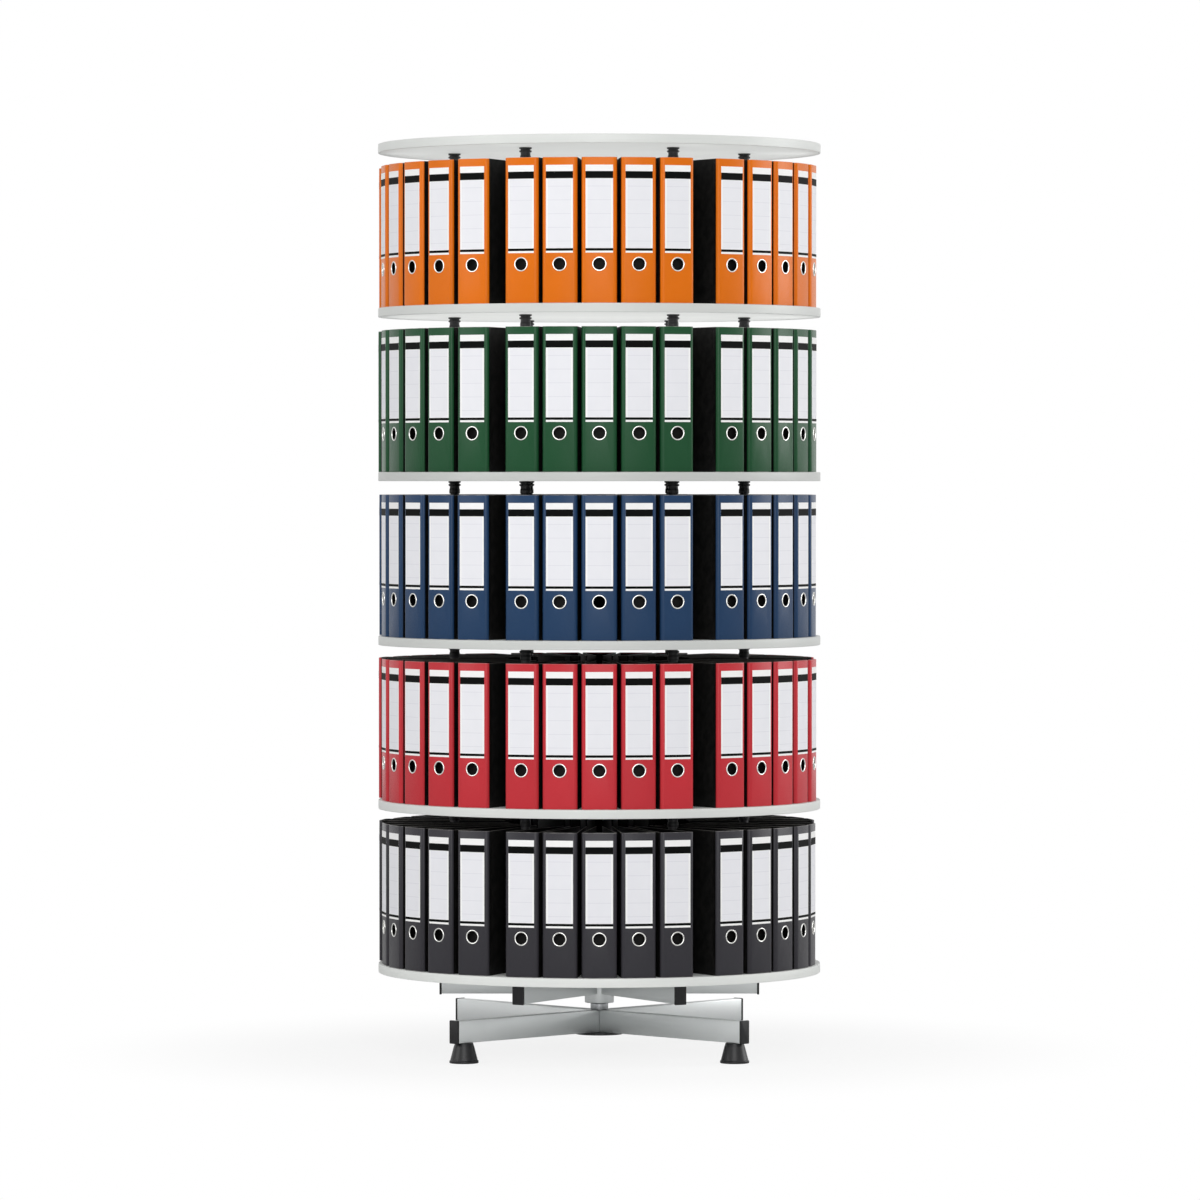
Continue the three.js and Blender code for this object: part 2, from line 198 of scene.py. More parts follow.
def new_finish(name, **fixed):
    """A material, its shader and its Object coordinates; fixed holds values for plain sockets."""
    material = bpy.data.materials.new(name)
    material.use_nodes = True
    shader = material.node_tree.nodes["Principled BSDF"]
    for socket, value in fixed.items():
        shader.inputs[socket.replace("_", " ")].default_value = value
    place = Wire(material.node_tree).node("ShaderNodeTexCoord", out="Object")
    return material, shader, place


def feed(shader, color, roughness, normal):
    for socket, wire in (("Base Color", color), ("Roughness", roughness), ("Normal", normal)):
        wire.tree.links.new(wire.socket, shader.inputs[socket])


def own_attribute(place, name, out):
    return place.node("ShaderNodeAttribute", {"attribute_name": name}, out=out)


print("mid grey on a screen is", round(tint(128, 128, 128)[0], 3), "of the light of white")

# %% [markdown]
# A studio with a white floor and white surroundings. The world is the soft fill. The floor is white
# board: the camera sees it keep a faint shadow and fade into the white behind the object, and
# reflections see its real shading. Light Path tells these kinds of ray apart.

# %% Studio
WHITE = (1.0, 1.0, 1.0, 1.0)
FILL_STRENGTH = 0.35
FLOOR_RADIUS = 9.0
FLOOR_STEPS = 96
FLOOR_BOARD = (0.86, 0.86, 0.86, 1.0)
FLOOR_FADE = (0.55, 1.3)
FLOOR_WHITE = 0.84


def seen_rays(wire, *kinds):
    """1 for the kinds of ray that are named, 0 for the light that objects get."""
    path = wire.tree.nodes.new("ShaderNodeLightPath")
    named = [Wire(wire.tree, path.outputs[f"Is {kind} Ray"]) for kind in kinds]
    return sum(named).math("MINIMUM", 1.0)


def light_world():
    world = bpy.data.worlds.new("white_studio")
    world.use_nodes = True
    background = world.node_tree.nodes["Background"]
    seen = seen_rays(Wire(world.node_tree), "Camera", "Glossy", "Transmission")
    strength = seen * (1.0 - FILL_STRENGTH) + FILL_STRENGTH
    world.node_tree.links.new(strength.socket, background.inputs["Strength"])
    background.inputs["Color"].default_value = WHITE
    bpy.context.scene.world = world


def floor_finish():
    material = bpy.data.materials.new("studio_floor")
    material.use_nodes = True
    tree = material.node_tree
    tree.nodes.clear()
    place = Wire(tree).node("ShaderNodeTexCoord", out="Object")
    away = place.node("ShaderNodeVectorMath", {"operation": "LENGTH"}, {0: place}, out="Value")
    fade = away.ramp(*FLOOR_FADE) * (1.0 - FLOOR_WHITE) + FLOOR_WHITE
    board = place.node("ShaderNodeBsdfDiffuse", None, {"Color": FLOOR_BOARD})
    white = place.node("ShaderNodeEmission", None, {"Color": WHITE, "Strength": 1.0})
    share = seen_rays(place, "Camera") * fade
    mixed = place.node("ShaderNodeMixShader", None, {0: share, 1: board, 2: white})
    place.node("ShaderNodeOutputMaterial", None, {"Surface": mixed})
    return material


def lay_floor():
    mesh = bpy.data.meshes.new("studio_floor")
    form = bmesh.new()
    bmesh.ops.create_circle(form, cap_ends=True, segments=FLOOR_STEPS, radius=FLOOR_RADIUS)
    form.to_mesh(mesh)
    form.free()
    mesh.materials.append(floor_finish())
    floor = bpy.data.objects.new("studio_floor", mesh)
    bpy.context.scene.collection.objects.link(floor)


light_world()
lay_floor()
print("floor", 2 * FLOOR_RADIUS, "m across")

# %% [markdown]
# Wide lamps in front, at the left and overhead give the spines their slow fall of light, and a low one
# reaches in under the column. The lamp on the right stands a little behind, so the foils that face
# that way show a sheen. The photograph shows the undersides of the two upper boards as light as their
# rims, though hardly any light gets in above the files. So a flat lamp lies just over the files of
# these tiers and shines up; it is hidden from the camera and shows no disc of its own.

# %% Lamps
LAMPS = {
    "lamp_front": ((0.0, -7.5, 4.0), 4.0, 164.0),
    "lamp_left": ((-6.2, -3.2, 2.6), 3.4, 98.0),
    "lamp_right": ((6.0, 1.3, 2.4), 3.2, 128.0),
    "lamp_low": ((0.0, -7.0, 0.6), 3.6, 68.0),
    "lamp_top": ((0.0, -1.2, 5.6), 3.5, 50.0),
}
GAP_LAMP_DROP = 27 * MM
GAP_LAMP_SPREAD = 1.94 * board_radius
GAP_LAMP_POWERS = {4: 2.1, 5: 1.8}


def hang_lamp(name, place, aim, size, power):
    lamp = bpy.data.lights.new(name, "AREA")
    lamp.size = size
    lamp.energy = power
    stand = bpy.data.objects.new(name, lamp)
    stand.location = place
    stand.rotation_euler = (Vector(aim) - stand.location).to_track_quat("-Z", "Y").to_euler()
    bpy.context.scene.collection.objects.link(stand)
    return stand


def hang_lamps():
    for name, (place, size, power) in LAMPS.items():
        hang_lamp(name, place, (0.0, 0.0, AIM_HEIGHT), size, power)
    for tier, power in GAP_LAMP_POWERS.items():
        underside = shelf_tops[tier] + tier_pitch - board_thickness
        place = (0.0, 0.0, underside - GAP_LAMP_DROP)
        aim = (0.0, 0.0, underside)
        flat = hang_lamp(f"lamp_over_tier_{tier}", place, aim, GAP_LAMP_SPREAD, power)
        flat.data.shape = "DISK"
        flat.visible_camera = False


hang_lamps()
print("studio with", len(LAMPS) + len(GAP_LAMP_POWERS), "lamps")

# %% [markdown]
# The boards are chipboard faced with pale grey melamine, with a plastic band round the edge. Melamine
# has a very fine pebbled press mark and hardly any colour of its own, so two sizes of noise move its
# tone by a few parts in a hundred and a shallow bump breaks the reflection. The bands have fine lines
# along them. The bands are all alike, but each board's band is painted a little lighter or darker, as
# measured in the photograph: painted light and shade for how each tier is lit.

# %% Board finishes
BAND_PAINTED_SHADES = {
    # painted shade: how much lighter or darker a band is painted than the common grey, for the light on
    # its tier
    "shelf_1": 1.1,
    "shelf_2": 0.99,
    "shelf_3": 0.84,
    "shelf_4": 0.77,
    "shelf_5": 0.9,
    "top_cover": 1.0,
}


def dimmed(color, share):
    return tuple(share * light for light in color[:3]) + (1.0,)


def melamine_finish():
    material, shader, place = new_finish("board_melamine", Specular_IOR_Level=0.25)
    clouds = place.noise(9.0, detail=3.0)
    pebbles = place.noise(900.0, detail=1.0)
    color = clouds.mixed(tint(222, 224, 222), tint(232, 234, 231))
    normal = (pebbles * 0.6 + clouds * 0.4).bump(0.08 * MM, strength=0.6)
    feed(shader, color, clouds * 0.12 + 0.44, normal)
    return material


def edge_band_finish(node, share):
    material, shader, place = new_finish(f"{node}_band", Specular_IOR_Level=0.4)
    lines = place.stretched(6.0, 6.0, 700.0).noise(1.0)
    clouds = place.noise(7.0)
    # share is painted shade: it lightens or darkens this board's band for the light on its tier, though
    # all bands are alike
    dark = dimmed(tint(212, 215, 212), share)
    light = dimmed(tint(226, 228, 225), share)
    color = (lines * 0.5 + clouds * 0.5).mixed(dark, light)
    feed(shader, color, lines * 0.14 + 0.34, lines.bump(0.05 * MM, strength=0.5))
    return material


melamine = melamine_finish()
# each board's band gets its own painted shade
edge_bands = {node: edge_band_finish(node, share) for node, share in BAND_PAINTED_SHADES.items()}
print("board finishes", melamine.name, [band.name for band in edge_bands.values()])

# %% [markdown]
# The tubes of the floor cross and the star are lacquered silver grey. Metallic stands between paint
# and metal, because such a lacquer is both: flakes that mirror, in a binder that doesn't. The faint
# lines of drawn tube run along each arm. The arms point in many directions, so the lines follow
# bar_place, an attribute with each point's place on a bar before it was swung round. The black parts
# are moulded plastic with a spark-eroded grain, and the posts are black coated tube.


# %% Paint and plastic
def silver_finish():
    material, shader, place = new_finish("silver_lacquer", Metallic=0.6)
    along_bar = own_attribute(place, "bar_place", "Vector").stretched(900.0, 3.0, 900.0)
    lines = along_bar.noise(1.0)
    flakes = place.cells(2600.0)
    clouds = place.noise(11.0, detail=3.0)
    mask = flakes * 0.5 + clouds * 0.3 + lines * 0.2
    color = mask.mixed(tint(214, 217, 217), tint(230, 233, 233))
    roughness = clouds * 0.05 + lines * 0.02 + 0.34
    feed(shader, color, roughness, flakes.bump(0.004 * MM, strength=0.3))
    return material


def black_moulded_finish():
    material, shader, place = new_finish("black_moulded_plastic", Specular_IOR_Level=0.36)
    grain = place.cells(1500.0)
    clouds = place.noise(40.0, detail=3.0)
    color = clouds.mixed(tint(12, 12, 14), tint(22, 22, 25))
    feed(shader, color, clouds * 0.15 + 0.3, grain.bump(0.06 * MM, strength=0.6))
    return material


def post_finish():
    material, shader, place = new_finish("post_black_coat", Specular_IOR_Level=0.45)
    skin = place.noise(520.0)
    clouds = place.noise(25.0)
    color = clouds.mixed(tint(24, 24, 26), tint(40, 40, 43))
    feed(shader, color, skin * 0.18 + 0.34, skin.bump(0.07 * MM, strength=0.5))
    return material


silver = silver_finish()
black_moulded = black_moulded_finish()
post_black = post_finish()
print("paint and plastic", silver.name, black_moulded.name, post_black.name)

# %% [markdown]
# The pivot works inside the hub, where little of it shows. Turned steel carries fine rings from the
# lathe, so its noise is squeezed along Z until it becomes lines round the piece. Sintered bronze has
# dark pores. The finger rings and the lever mechanism of the files are bright nickel plate with a
# faint haze.


# %% Bare metals
def turned_steel_finish():
    material, shader, place = new_finish("turned_steel", Metallic=1.0)
    rings = place.stretched(20.0, 20.0, 2600.0).noise(1.0, detail=3.0)
    color = rings.mixed(tint(122, 124, 126), tint(172, 174, 176))
    feed(shader, color, rings * 0.2 + 0.2, rings.bump(0.03 * MM, strength=0.5))
    return material


def bronze_finish():
    material, shader, place = new_finish("sintered_bronze", Metallic=0.9)
    pores = place.cells(1300.0).ramp(0.12, 0.34)
    color = pores.mixed(tint(92, 66, 34), tint(178, 138, 80))
    feed(shader, color, 0.62 - pores * 0.22, pores.bump(0.05 * MM, strength=0.6))
    return material


def nickel_finish():
    material, shader, place = new_finish("nickel_plate", Metallic=1.0)
    haze = place.noise(160.0, detail=3.0)
    color = haze.mixed(tint(214, 213, 208), tint(238, 238, 236))
    feed(shader, color, haze * 0.14 + 0.12, haze.bump(0.01 * MM, strength=0.4))
    return material


turned_steel = turned_steel_finish()
bronze = bronze_finish()
nickel = nickel_finish()
print("bare metals", turned_steel.name, bronze.name, nickel.name)

# %% [markdown]
# A file is greyboard in a jacket: coloured foil on the spine and round its edges, black cloudy paper
# on the rest, lapped over the foil. Where the paper begins, the foil is darkened to dark red over a
# soft edge: painted shade for the narrow gaps between the files. Every file carries two attributes of
# its own, made further down: file_place, the point in the file's own frame, and file_tone, a number
# between 0 and 1 that differs from file to file. So the paper and its painted shade lap over the foil
# at the same depth wherever the file stands, and no two files have quite the same colour.


# %% File finishes
def mm(*lengths):
    """Lengths given in millimetres, as metres."""
    return tuple(length * MM for length in lengths)


FILE_HEIGHT = 319 * MM
FOIL_COLORS = {
    1: ("foil_charcoal", tint(54, 53, 58)),
    2: ("foil_red", tint(200, 50, 59)),
    3: ("foil_blue", tint(31, 61, 96)),
    4: ("foil_green", tint(26, 77, 45)),
    5: ("foil_orange", tint(233, 117, 6)),
}
FOIL_SHADE = 0.84
WORN_FOIL = tint(236, 232, 226)
WORN_END = 1.6 * MM
FOIL_END = 7.6 * MM
LAP_PAPER = tint(7, 6, 6)
# the wide blur is painted shade: it darkens the foil to dark red before the paper, for the gaps between
# files
PAINTED_SHADE_BLUR = 1 * MM
CUT_BOARD = tint(120, 118, 114)
CUT_EDGE = mm(0.9, 0.4)


def foil_finish(name, color):
    material, shader, place = new_finish(name, Specular_IOR_Level=0.2)
    own = own_attribute(place, "file_place", "Vector")
    tone = own_attribute(place, "file_tone", "Fac")
    grain = place.cells(1100.0)
    clouds = place.noise(14.0, detail=3.0)
    shaded = (clouds * 0.6 + tone * 0.4).mixed(dimmed(color, FOIL_SHADE), color)
    half = FILE_HEIGHT / 2
    end_rub = abs(own.part(2) - half).ramp(half - WORN_END, half)
    rub = end_rub * (place.noise(60.0, detail=4.0).ramp(0.35, 0.75) * 0.3 + 0.1)
    # past FOIL_END the black cover paper laps over the foil; the soft edge before it is painted shade,
    # darkening the foil where the gaps between files lie in shadow
    lap_and_painted_shade = own.part(1).ramp(FOIL_END - PAINTED_SHADE_BLUR, FOIL_END + PAINTED_SHADE_BLUR)
    jacket_color = lap_and_painted_shade.mixed(rub.mixed(shaded, WORN_FOIL), LAP_PAPER)
    feed(shader, jacket_color, grain * 0.25 + 0.2, grain.bump(0.06 * MM, strength=0.6))
    return material


def cover_paper_finish():
    material, shader, place = new_finish("cover_cloud_paper", Specular_IOR_Level=0.15)
    own = own_attribute(place, "file_place", "Vector")
    drift = place.noise(30.0)
    clouds = (own.noise(55.0, detail=5.0, roughness=0.65) + drift * 0.3).ramp(0.42, 0.95)
    paper = clouds.mixed(tint(7, 7, 7), tint(28, 27, 26))
    top_edge = own.part(2).ramp(FILE_HEIGHT - CUT_EDGE[0], FILE_HEIGHT - CUT_EDGE[1])
    fibres = place.noise(1500.0)
    color = top_edge.mixed(paper, CUT_BOARD)
    feed(shader, color, fibres * 0.2 + 0.55, fibres.bump(0.04 * MM, strength=0.5))
    return material


foils = {tier: foil_finish(*FOIL_COLORS[tier]) for tier in TIERS}
cover_paper = cover_paper_finish()
print("foils", [foil.name for foil in foils.values()], "and", cover_paper.name)

# %% [markdown]
# Each spine wears a paper label: white, with a dark printed band near the top, a pale writing field
# with faint ruled lines, and a dark line near the foot. White paper is not one flat white, so long
# fibres vary its tone a little.

# %% Label finishes
RULE_PITCH = 30 * MM
RULE_HALF = 0.35 * MM
RULE_INK = tint(200, 200, 210)
RULE_SHARE = 0.4


def paper_finish(name, color, shade, gloss=0.3, ruled=False):
    material, shader, place = new_finish(name, Specular_IOR_Level=gloss)
    fibres = place.stretched(1.0, 1.0, 0.35).noise(1700.0, detail=3.0)
    clouds = place.noise(35.0)
    paper = (fibres * 0.5 + clouds * 0.5).mixed(shade, color)
    if ruled:
        height = own_attribute(place, "file_place", "Vector").part(2)
        from_rule = abs(height % RULE_PITCH - RULE_PITCH / 2)
        rule = 1.0 - from_rule.ramp(RULE_HALF, 2 * RULE_HALF)
        paper = (rule * RULE_SHARE).mixed(paper, RULE_INK)
    feed(shader, paper, fibres * 0.15 + 0.5, fibres.bump(0.03 * MM, strength=0.5))
    return material


label_paper = paper_finish("label_paper", tint(252, 252, 251), tint(243, 243, 242))
label_field = paper_finish("label_field", tint(240, 240, 244), tint(232, 233, 238), ruled=True)
label_print = paper_finish("label_print", tint(9, 11, 10), tint(4, 5, 5), gloss=0.05)
lining_paper = paper_finish("lining_paper", tint(92, 92, 94), tint(74, 74, 76))
print("papers", label_paper.name, label_field.name, label_print.name, lining_paper.name)

# %% [markdown]
# Nearly every rigid piece here is either turned on a lathe or cut off a bar, and both begin with a flat
# outline. Its corners are rounded here, before it becomes a solid, by swapping each corner for an arc
# that touches both sides.

# %% Outlines
ARC_STEPS = 4


def rounded(corners, closed=True):
    """Points of an outline of (x, y, radius) corners, each one with a radius swapped for an arc."""
    points = []
    for i, (x, y, radius) in enumerate(corners):
        here = Vector((x, y))
        if radius == 0 or (not closed and i in (0, len(corners) - 1)):
            points.append(here)
            continue
        back = (Vector(corners[i - 1][:2]) - here).normalized()
        onward = (Vector(corners[(i + 1) % len(corners)][:2]) - here).normalized()
        half = back.angle(onward) / 2
        centre = here + (back + onward).normalized() * (radius / math.sin(half))
        start = here + back * (radius / math.tan(half)) - centre
        sweep = start.angle_signed(here + onward * (radius / math.tan(half)) - centre)
        for step in range(ARC_STEPS + 1):
            points.append(centre + Matrix.Rotation(-sweep * step / ARC_STEPS, 2) @ start)
    return points


def rod_profile(radius, low, high, edge):
    """Lathe profile of a plain round bar or disc with its edges rounded."""
    corners = [(0, low, 0), (radius, low, edge), (radius, high, edge), (0, high, 0)]
    return rounded(corners, closed=False)


def ring_profile(corners):
    """Lathe profile that keeps clear of the axis and ends on its first point."""
    loop = rounded(corners)
    return loop + loop[:1]


def circle(radius, steps):
    turns = [2 * math.pi * i / steps for i in range(steps)]
    return [(radius * math.cos(turn), radius * math.sin(turn)) for turn in turns]


def rectangle(width, height, radius, across=0.0, up=0.0):
    """Rounded rectangle about (across, up)."""
    signs = ((-1, -1), (1, -1), (1, 1), (-1, 1))
    return rounded([(across + sx * width / 2, up + sy * height / 2, radius) for sx, sy in signs])


print("a rounded rectangle has", len(rectangle(2.0, 1.0, 0.2)), "points")

# %% [markdown]
# Two mesh makers turn outlines into solids: one spins a profile about the Z axis, the other raises an
# outline into a prism and breaks its sharp ends. Faces that meet at a small angle are shaded smooth,
# so a lathe piece looks round while its shoulders stay crisp.

# %% Mesh makers
SMOOTH_UNDER = math.radians(34)
WELD_DISTANCE = 1e-7
ON_AXIS = 1e-9
BEVEL_STEPS = 2
BEVEL_PROFILE = 0.6


def finished_mesh(form, name, turn=None):
    """A mesh with outward faces and smooth curves; turn moves it to its place first."""
    bmesh.ops.remove_doubles(form, verts=form.verts, dist=WELD_DISTANCE)
    bmesh.ops.recalc_face_normals(form, faces=form.faces)
    if turn is not None:
        bmesh.ops.transform(form, matrix=turn, verts=form.verts)
    mesh = bpy.data.meshes.new(name)
    form.to_mesh(mesh)
    form.free()
    mesh.shade_smooth()
    mesh.set_sharp_from_angle(angle=SMOOTH_UNDER)
    return mesh


def add_turned(form, profile, steps):
    """Spins (radius, height) points about Z. A profile ends on the axis or on its first point."""
    rings = []
    for radius, height in profile:
        spots = circle(radius, 1 if radius < ON_AXIS else steps)
        rings.append([form.verts.new((x, y, height)) for x, y in spots])
    for lower, upper in zip(rings, rings[1:]):
        for i in range(steps):
            j = (i + 1) % steps
            around = ((lower, i), (lower, j), (upper, j), (upper, i))
            form.faces.new(dict.fromkeys(ring[k % len(ring)] for ring, k in around))


def turned_mesh(name, profile, steps, turn=None):
    form = bmesh.new()
    add_turned(form, profile, steps)
    return finished_mesh(form, name, turn)


def add_prism(form, outline, low, high, edge=0.0):
    """Raises an outline from low to high, with its end edges broken by edge."""
    base = form.faces.new([form.verts.new((x, y, low)) for x, y in outline])
    sides = bmesh.ops.extrude_face_region(form, geom=[base], use_keep_orig=True)["geom"]
    raised = [item for item in sides if isinstance(item, bmesh.types.BMVert)]
    bmesh.ops.translate(form, verts=raised, vec=(0.0, 0.0, high - low))
    if edge > 0:
        lid = next(item for item in sides if isinstance(item, bmesh.types.BMFace))
        rims = list(base.edges) + list(lid.edges)
        shape = {"segments": BEVEL_STEPS, "profile": BEVEL_PROFILE, "affect": "EDGES"}
        bmesh.ops.bevel(form, geom=rims, offset=edge, **shape)


def prism_mesh(name, outline, low, high, edge=0.0, turn=None):
    form = bmesh.new()
    add_prism(form, outline, low, high, edge)
    return finished_mesh(form, name, turn)


def mark_places(mesh, name):
    """Keeps each point's place as an attribute, for finishes that follow the piece."""
    kept = mesh.attributes.new(name, "FLOAT_VECTOR", "POINT")
    kept.data.foreach_set("vector", [c for vertex in mesh.vertices for c in vertex.co])
    return mesh


def new_piece(name, mesh, finish=None):
    piece = bpy.data.objects.new(name, mesh)
    bpy.context.scene.collection.objects.link(piece)
    if finish is not None:
        mesh.materials.append(finish)
    return piece


print("mesh makers ready, curves under", round(math.degrees(SMOOTH_UNDER)), "degrees are smooth")

# %% [markdown]
# What repeats is set out by Geometry Nodes. The two trees of this lesson share their frame: named
# inputs on one side, Realize Instances and Set Material on the other, because an export keeps no
# instances. A tree runs once on a mesh, and what it makes is kept as a plain mesh.


# %% Geometry Nodes
def new_tree(name, inputs):
    """An empty Geometry Nodes tree with named inputs, and the wires that come from them."""
    tree = bpy.data.node_groups.new(name, "GeometryNodeTree")
    tree.is_modifier = True
    tree.interface.new_socket("Geometry", in_out="OUTPUT", socket_type="NodeSocketGeometry")
    for label, kind in inputs.items():
        tree.interface.new_socket(label, in_out="INPUT", socket_type=f"NodeSocket{kind}")
    group_input = tree.nodes.new("NodeGroupInput")
    return tree, {label: Wire(tree, group_input.outputs[label]) for label in inputs}


def close_tree(instances, finish):
    """Realizes the instances, gives them their material and leads them out."""
    real = instances.node("GeometryNodeRealizeInstances", None, {0: instances})
    dress = {"Geometry": real, "Material": finish}
    dressed = real.node("GeometryNodeSetMaterial", None, dress)
    dressed.node("NodeGroupOutput", None, {0: dressed})


def copy_of(template):
    return template.node("GeometryNodeObjectInfo", None, {"Object": template}, out="Geometry")


def grown(name, mesh, tree, values):
    """Runs a tree on a mesh with these input values and keeps the result as a plain mesh."""
    piece = new_piece(name, mesh)
    modifier = piece.modifiers.new(tree.name, "NODES")
    modifier.node_group = tree
    inputs = [item for item in tree.interface.items_tree if item.in_out == "INPUT"]
    sockets = {item.name: item.identifier for item in inputs}
    for label, value in values.items():
        modifier[sockets[label]] = value
    graph = bpy.context.evaluated_depsgraph_get()
    result = bpy.data.meshes.new_from_object(piece.evaluated_get(graph), depsgraph=graph)
    piece.modifiers.clear()
    piece.data = result
    result.name = name
    return piece


print("ready to grow meshes from trees")

# %% [markdown]
# Arms, end caps, posts and collars stand in equal steps round the spindle, some of them on every tier.
# That is a rule, so a tree places them: it counts points, turns each one by its share of a full
# circle, lifts it by its tier, and sets a copy of the piece there. The piece itself is modelled once,
# where the first one stands.


# %% Round the spindle
def round_the_spindle_tree():
    inputs = {
        "Template": "Object",
        "Around": "Int",
        "Levels": "Int",
        "Level Pitch": "Float",
        "Finish": "Material",
    }
    tree, given = new_tree("round_the_spindle", inputs)
    index = Wire(tree).node("GeometryNodeInputIndex")
    level = (index / given["Around"]).math("FLOOR")
    angle = (index % given["Around"]) * (2 * math.pi) / given["Around"]
    lift = index.node("ShaderNodeCombineXYZ", None, {"Z": level * given["Level Pitch"]})
    turn = index.node("ShaderNodeCombineXYZ", None, {"Z": angle})
    row = {"Count": given["Around"] * given["Levels"], "Position": lift}
    points = index.node("GeometryNodePoints", None, row)
    sockets = {"Points": points, "Instance": copy_of(given["Template"]), "Rotation": turn}
    close_tree(index.node("GeometryNodeInstanceOnPoints", None, sockets), given["Finish"])
    return tree


around_tree = round_the_spindle_tree()


def set_around(name, mesh, finish, count, levels=1, pitch=0.0):
    """Copies of a mesh round the spindle, the first one where the mesh stands."""
    template = new_piece(f"{name}_template", mesh)
    values = {
        "Template": template,
        "Around": count,
        "Levels": levels,
        "Level Pitch": pitch,
        "Finish": finish,
    }
    piece = grown(name, bpy.data.meshes.new(name), around_tree, values)
    bpy.data.objects.remove(template)
    print(name, len(piece.data.polygons), "faces")
    return piece


def swung(degrees):
    """Turn from the front round to an angle, towards the right."""
    return Matrix.Rotation(math.radians(degrees), 4, "Z")


print("tree", around_tree.name, "has", len(around_tree.nodes), "nodes")

# %% [markdown]
# A board is a disc of faced chipboard with a 2 mm band glued round its edge. Both are lathe work: the
# core stops short of the rim with a softened arris, and the band has its own rounded edges, so a fine
# shadow line runs between them as on the real board.

# %% Boards
BOARD_STEPS = 160
BAND_THICKNESS = 2 * MM
BAND_ROUND = 1.4 * MM
SEAM = 0.25 * MM
ARRIS = 0.3 * MM


def board_profiles(low, high):
    """Lathe profiles of the board's core and of the band round it."""
    inner = board_radius - BAND_THICKNESS
    band = ring_profile([
        (inner, low, SEAM),
        (board_radius, low, BAND_ROUND),
        (board_radius, high, BAND_ROUND),
        (inner, high, SEAM),
    ])
    return rod_profile(inner - SEAM, low, high, ARRIS), band


def dress_board(node):
    low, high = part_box(node)
    core_profile, band_profile = board_profiles(low.z, high.z)
    core = turned_mesh(f"{node}_core", core_profile, BOARD_STEPS)
    band = turned_mesh(f"{node}_edge_band", band_profile, BOARD_STEPS)
    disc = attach(new_piece(core.name, core, melamine), "turning_column")
    rim = new_piece(band.name, band, edge_bands[node])
    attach(rim, "turning_column")
    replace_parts(disc, node)


boards = [f"shelf_{tier}" for tier in TIERS] + ["top_cover"]
for board in boards:
    dress_board(board)
print("dressed", len(boards), "boards")

# %% [markdown]
# Thirty posts carry the boards, six on each tier. A post is a coated tube, and under the board above it
# wears a moulded collar: a flange against the board, a bead, a waist and a sleeve. The gap above the files
# shows these collars against the light, so their profile matters more than the tube's.

# %% Posts
POST_CIRCLE = 327.5 * MM
POST_COUNT = 6
POST_ANGLE = 30
POST_RADIUS = 10 * MM
POST_END = 0.8 * MM
POST_STEPS = 24
INTO_COLLAR = 2 * MM
SEAT = 0.3 * MM
FLANGE_RADIUS = 14 * MM
BEAD_RADIUS = 13.8 * MM
NECK_RADIUS = 11 * MM
SLEEVE_RADIUS = 12.1 * MM
COLLAR_CORNERS = [
    # radius, distance under the board, rounding
    (POST_RADIUS, *mm(28, 0)),
    (SLEEVE_RADIUS, *mm(28, 1.2)),
    (SLEEVE_RADIUS, *mm(20, 3)),
    (NECK_RADIUS, *mm(16, 2)),
    (NECK_RADIUS, *mm(11, 0)),
    (BEAD_RADIUS, *mm(10.4, 1.2)),
    (BEAD_RADIUS, *mm(6.6, 1.2)),
    (NECK_RADIUS, *mm(6, 0)),
    (NECK_RADIUS, *mm(4, 0.8)),
    (FLANGE_RADIUS, *mm(3.2, 0.7)),
    (FLANGE_RADIUS, *mm(0, 0.3)),
    (POST_RADIUS, *mm(0, 0)),
]


def collar_profile(head):
    return ring_profile([(radius, head - under, bend) for radius, under, bend in COLLAR_CORNERS])


def dress_posts():
    foot = shelf_tops[1] + SEAT
    head = shelf_tops[1] + tier_pitch - board_thickness - SEAT
    place = swung(POST_ANGLE) @ Matrix.Translation((0.0, -POST_CIRCLE, 0.0))
    profile = rod_profile(POST_RADIUS, foot, head - INTO_COLLAR, POST_END)
    tube = turned_mesh("post_tube", profile, POST_STEPS, place)
    collar = turned_mesh("post_collar", collar_profile(head), POST_STEPS, place)
    levels = len(TIERS)
    tubes = set_around("post_tubes", tube, post_black, POST_COUNT, levels, tier_pitch)
    collars = set_around("post_collars", collar, black_moulded, POST_COUNT, levels, tier_pitch)
    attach(tubes, "turning_column")
    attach(collars, "turning_column")
    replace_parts(tubes, *[f"post_{i + 1}" for i in range(POST_COUNT)])


dress_posts()

# %% [markdown]
# The star under the lowest shelf is six lengths of 50 by 25 mm tube welded to a hub sleeve. One arm is
# a plan outline raised to the tube's height with its long edges rolled over, which is how drawn tube
# looks; the tree sets six of them round the hub. A black cap closes each tube. The sleeve is turned
# and hollow, because the bearing sits inside it.

# %% Star and hub
TUBE_WIDTH = 25 * MM
TUBE_HEIGHT = 50 * MM
TUBE_EDGE = 2.4 * MM
STAR_REACH = 357 * MM
STAR_CAP_LIP = 2 * MM
CAP_THICKNESS = 5 * MM
CAP_ROUND = 2.2 * MM
CAP_EDGE = 1.3 * MM
HUB_RADIUS = 33 * MM
HUB_BORE = 23.2 * MM
HUB_BOTTOM = 111 * MM
HUB_STEPS = 64
BORE_EDGE = 0.6 * MM
HUB_LOW_EDGE = 2 * MM
HUB_TOP_EDGE = 1 * MM
INTO_HUB = 3 * MM
LYING = Matrix.Rotation(math.pi / 2, 4, "X")


def cap_mesh(name, lip, reach, low, high, angle):
    """End cap of a tube: a soft-edged block across the tube's end, standing out by lip."""
    outline = rectangle(TUBE_WIDTH + 2 * lip, high - low, CAP_ROUND, 0.0, (low + high) / 2)
    place = swung(angle) @ LYING
    return prism_mesh(name, outline, reach, reach + CAP_THICKNESS, CAP_EDGE, place)


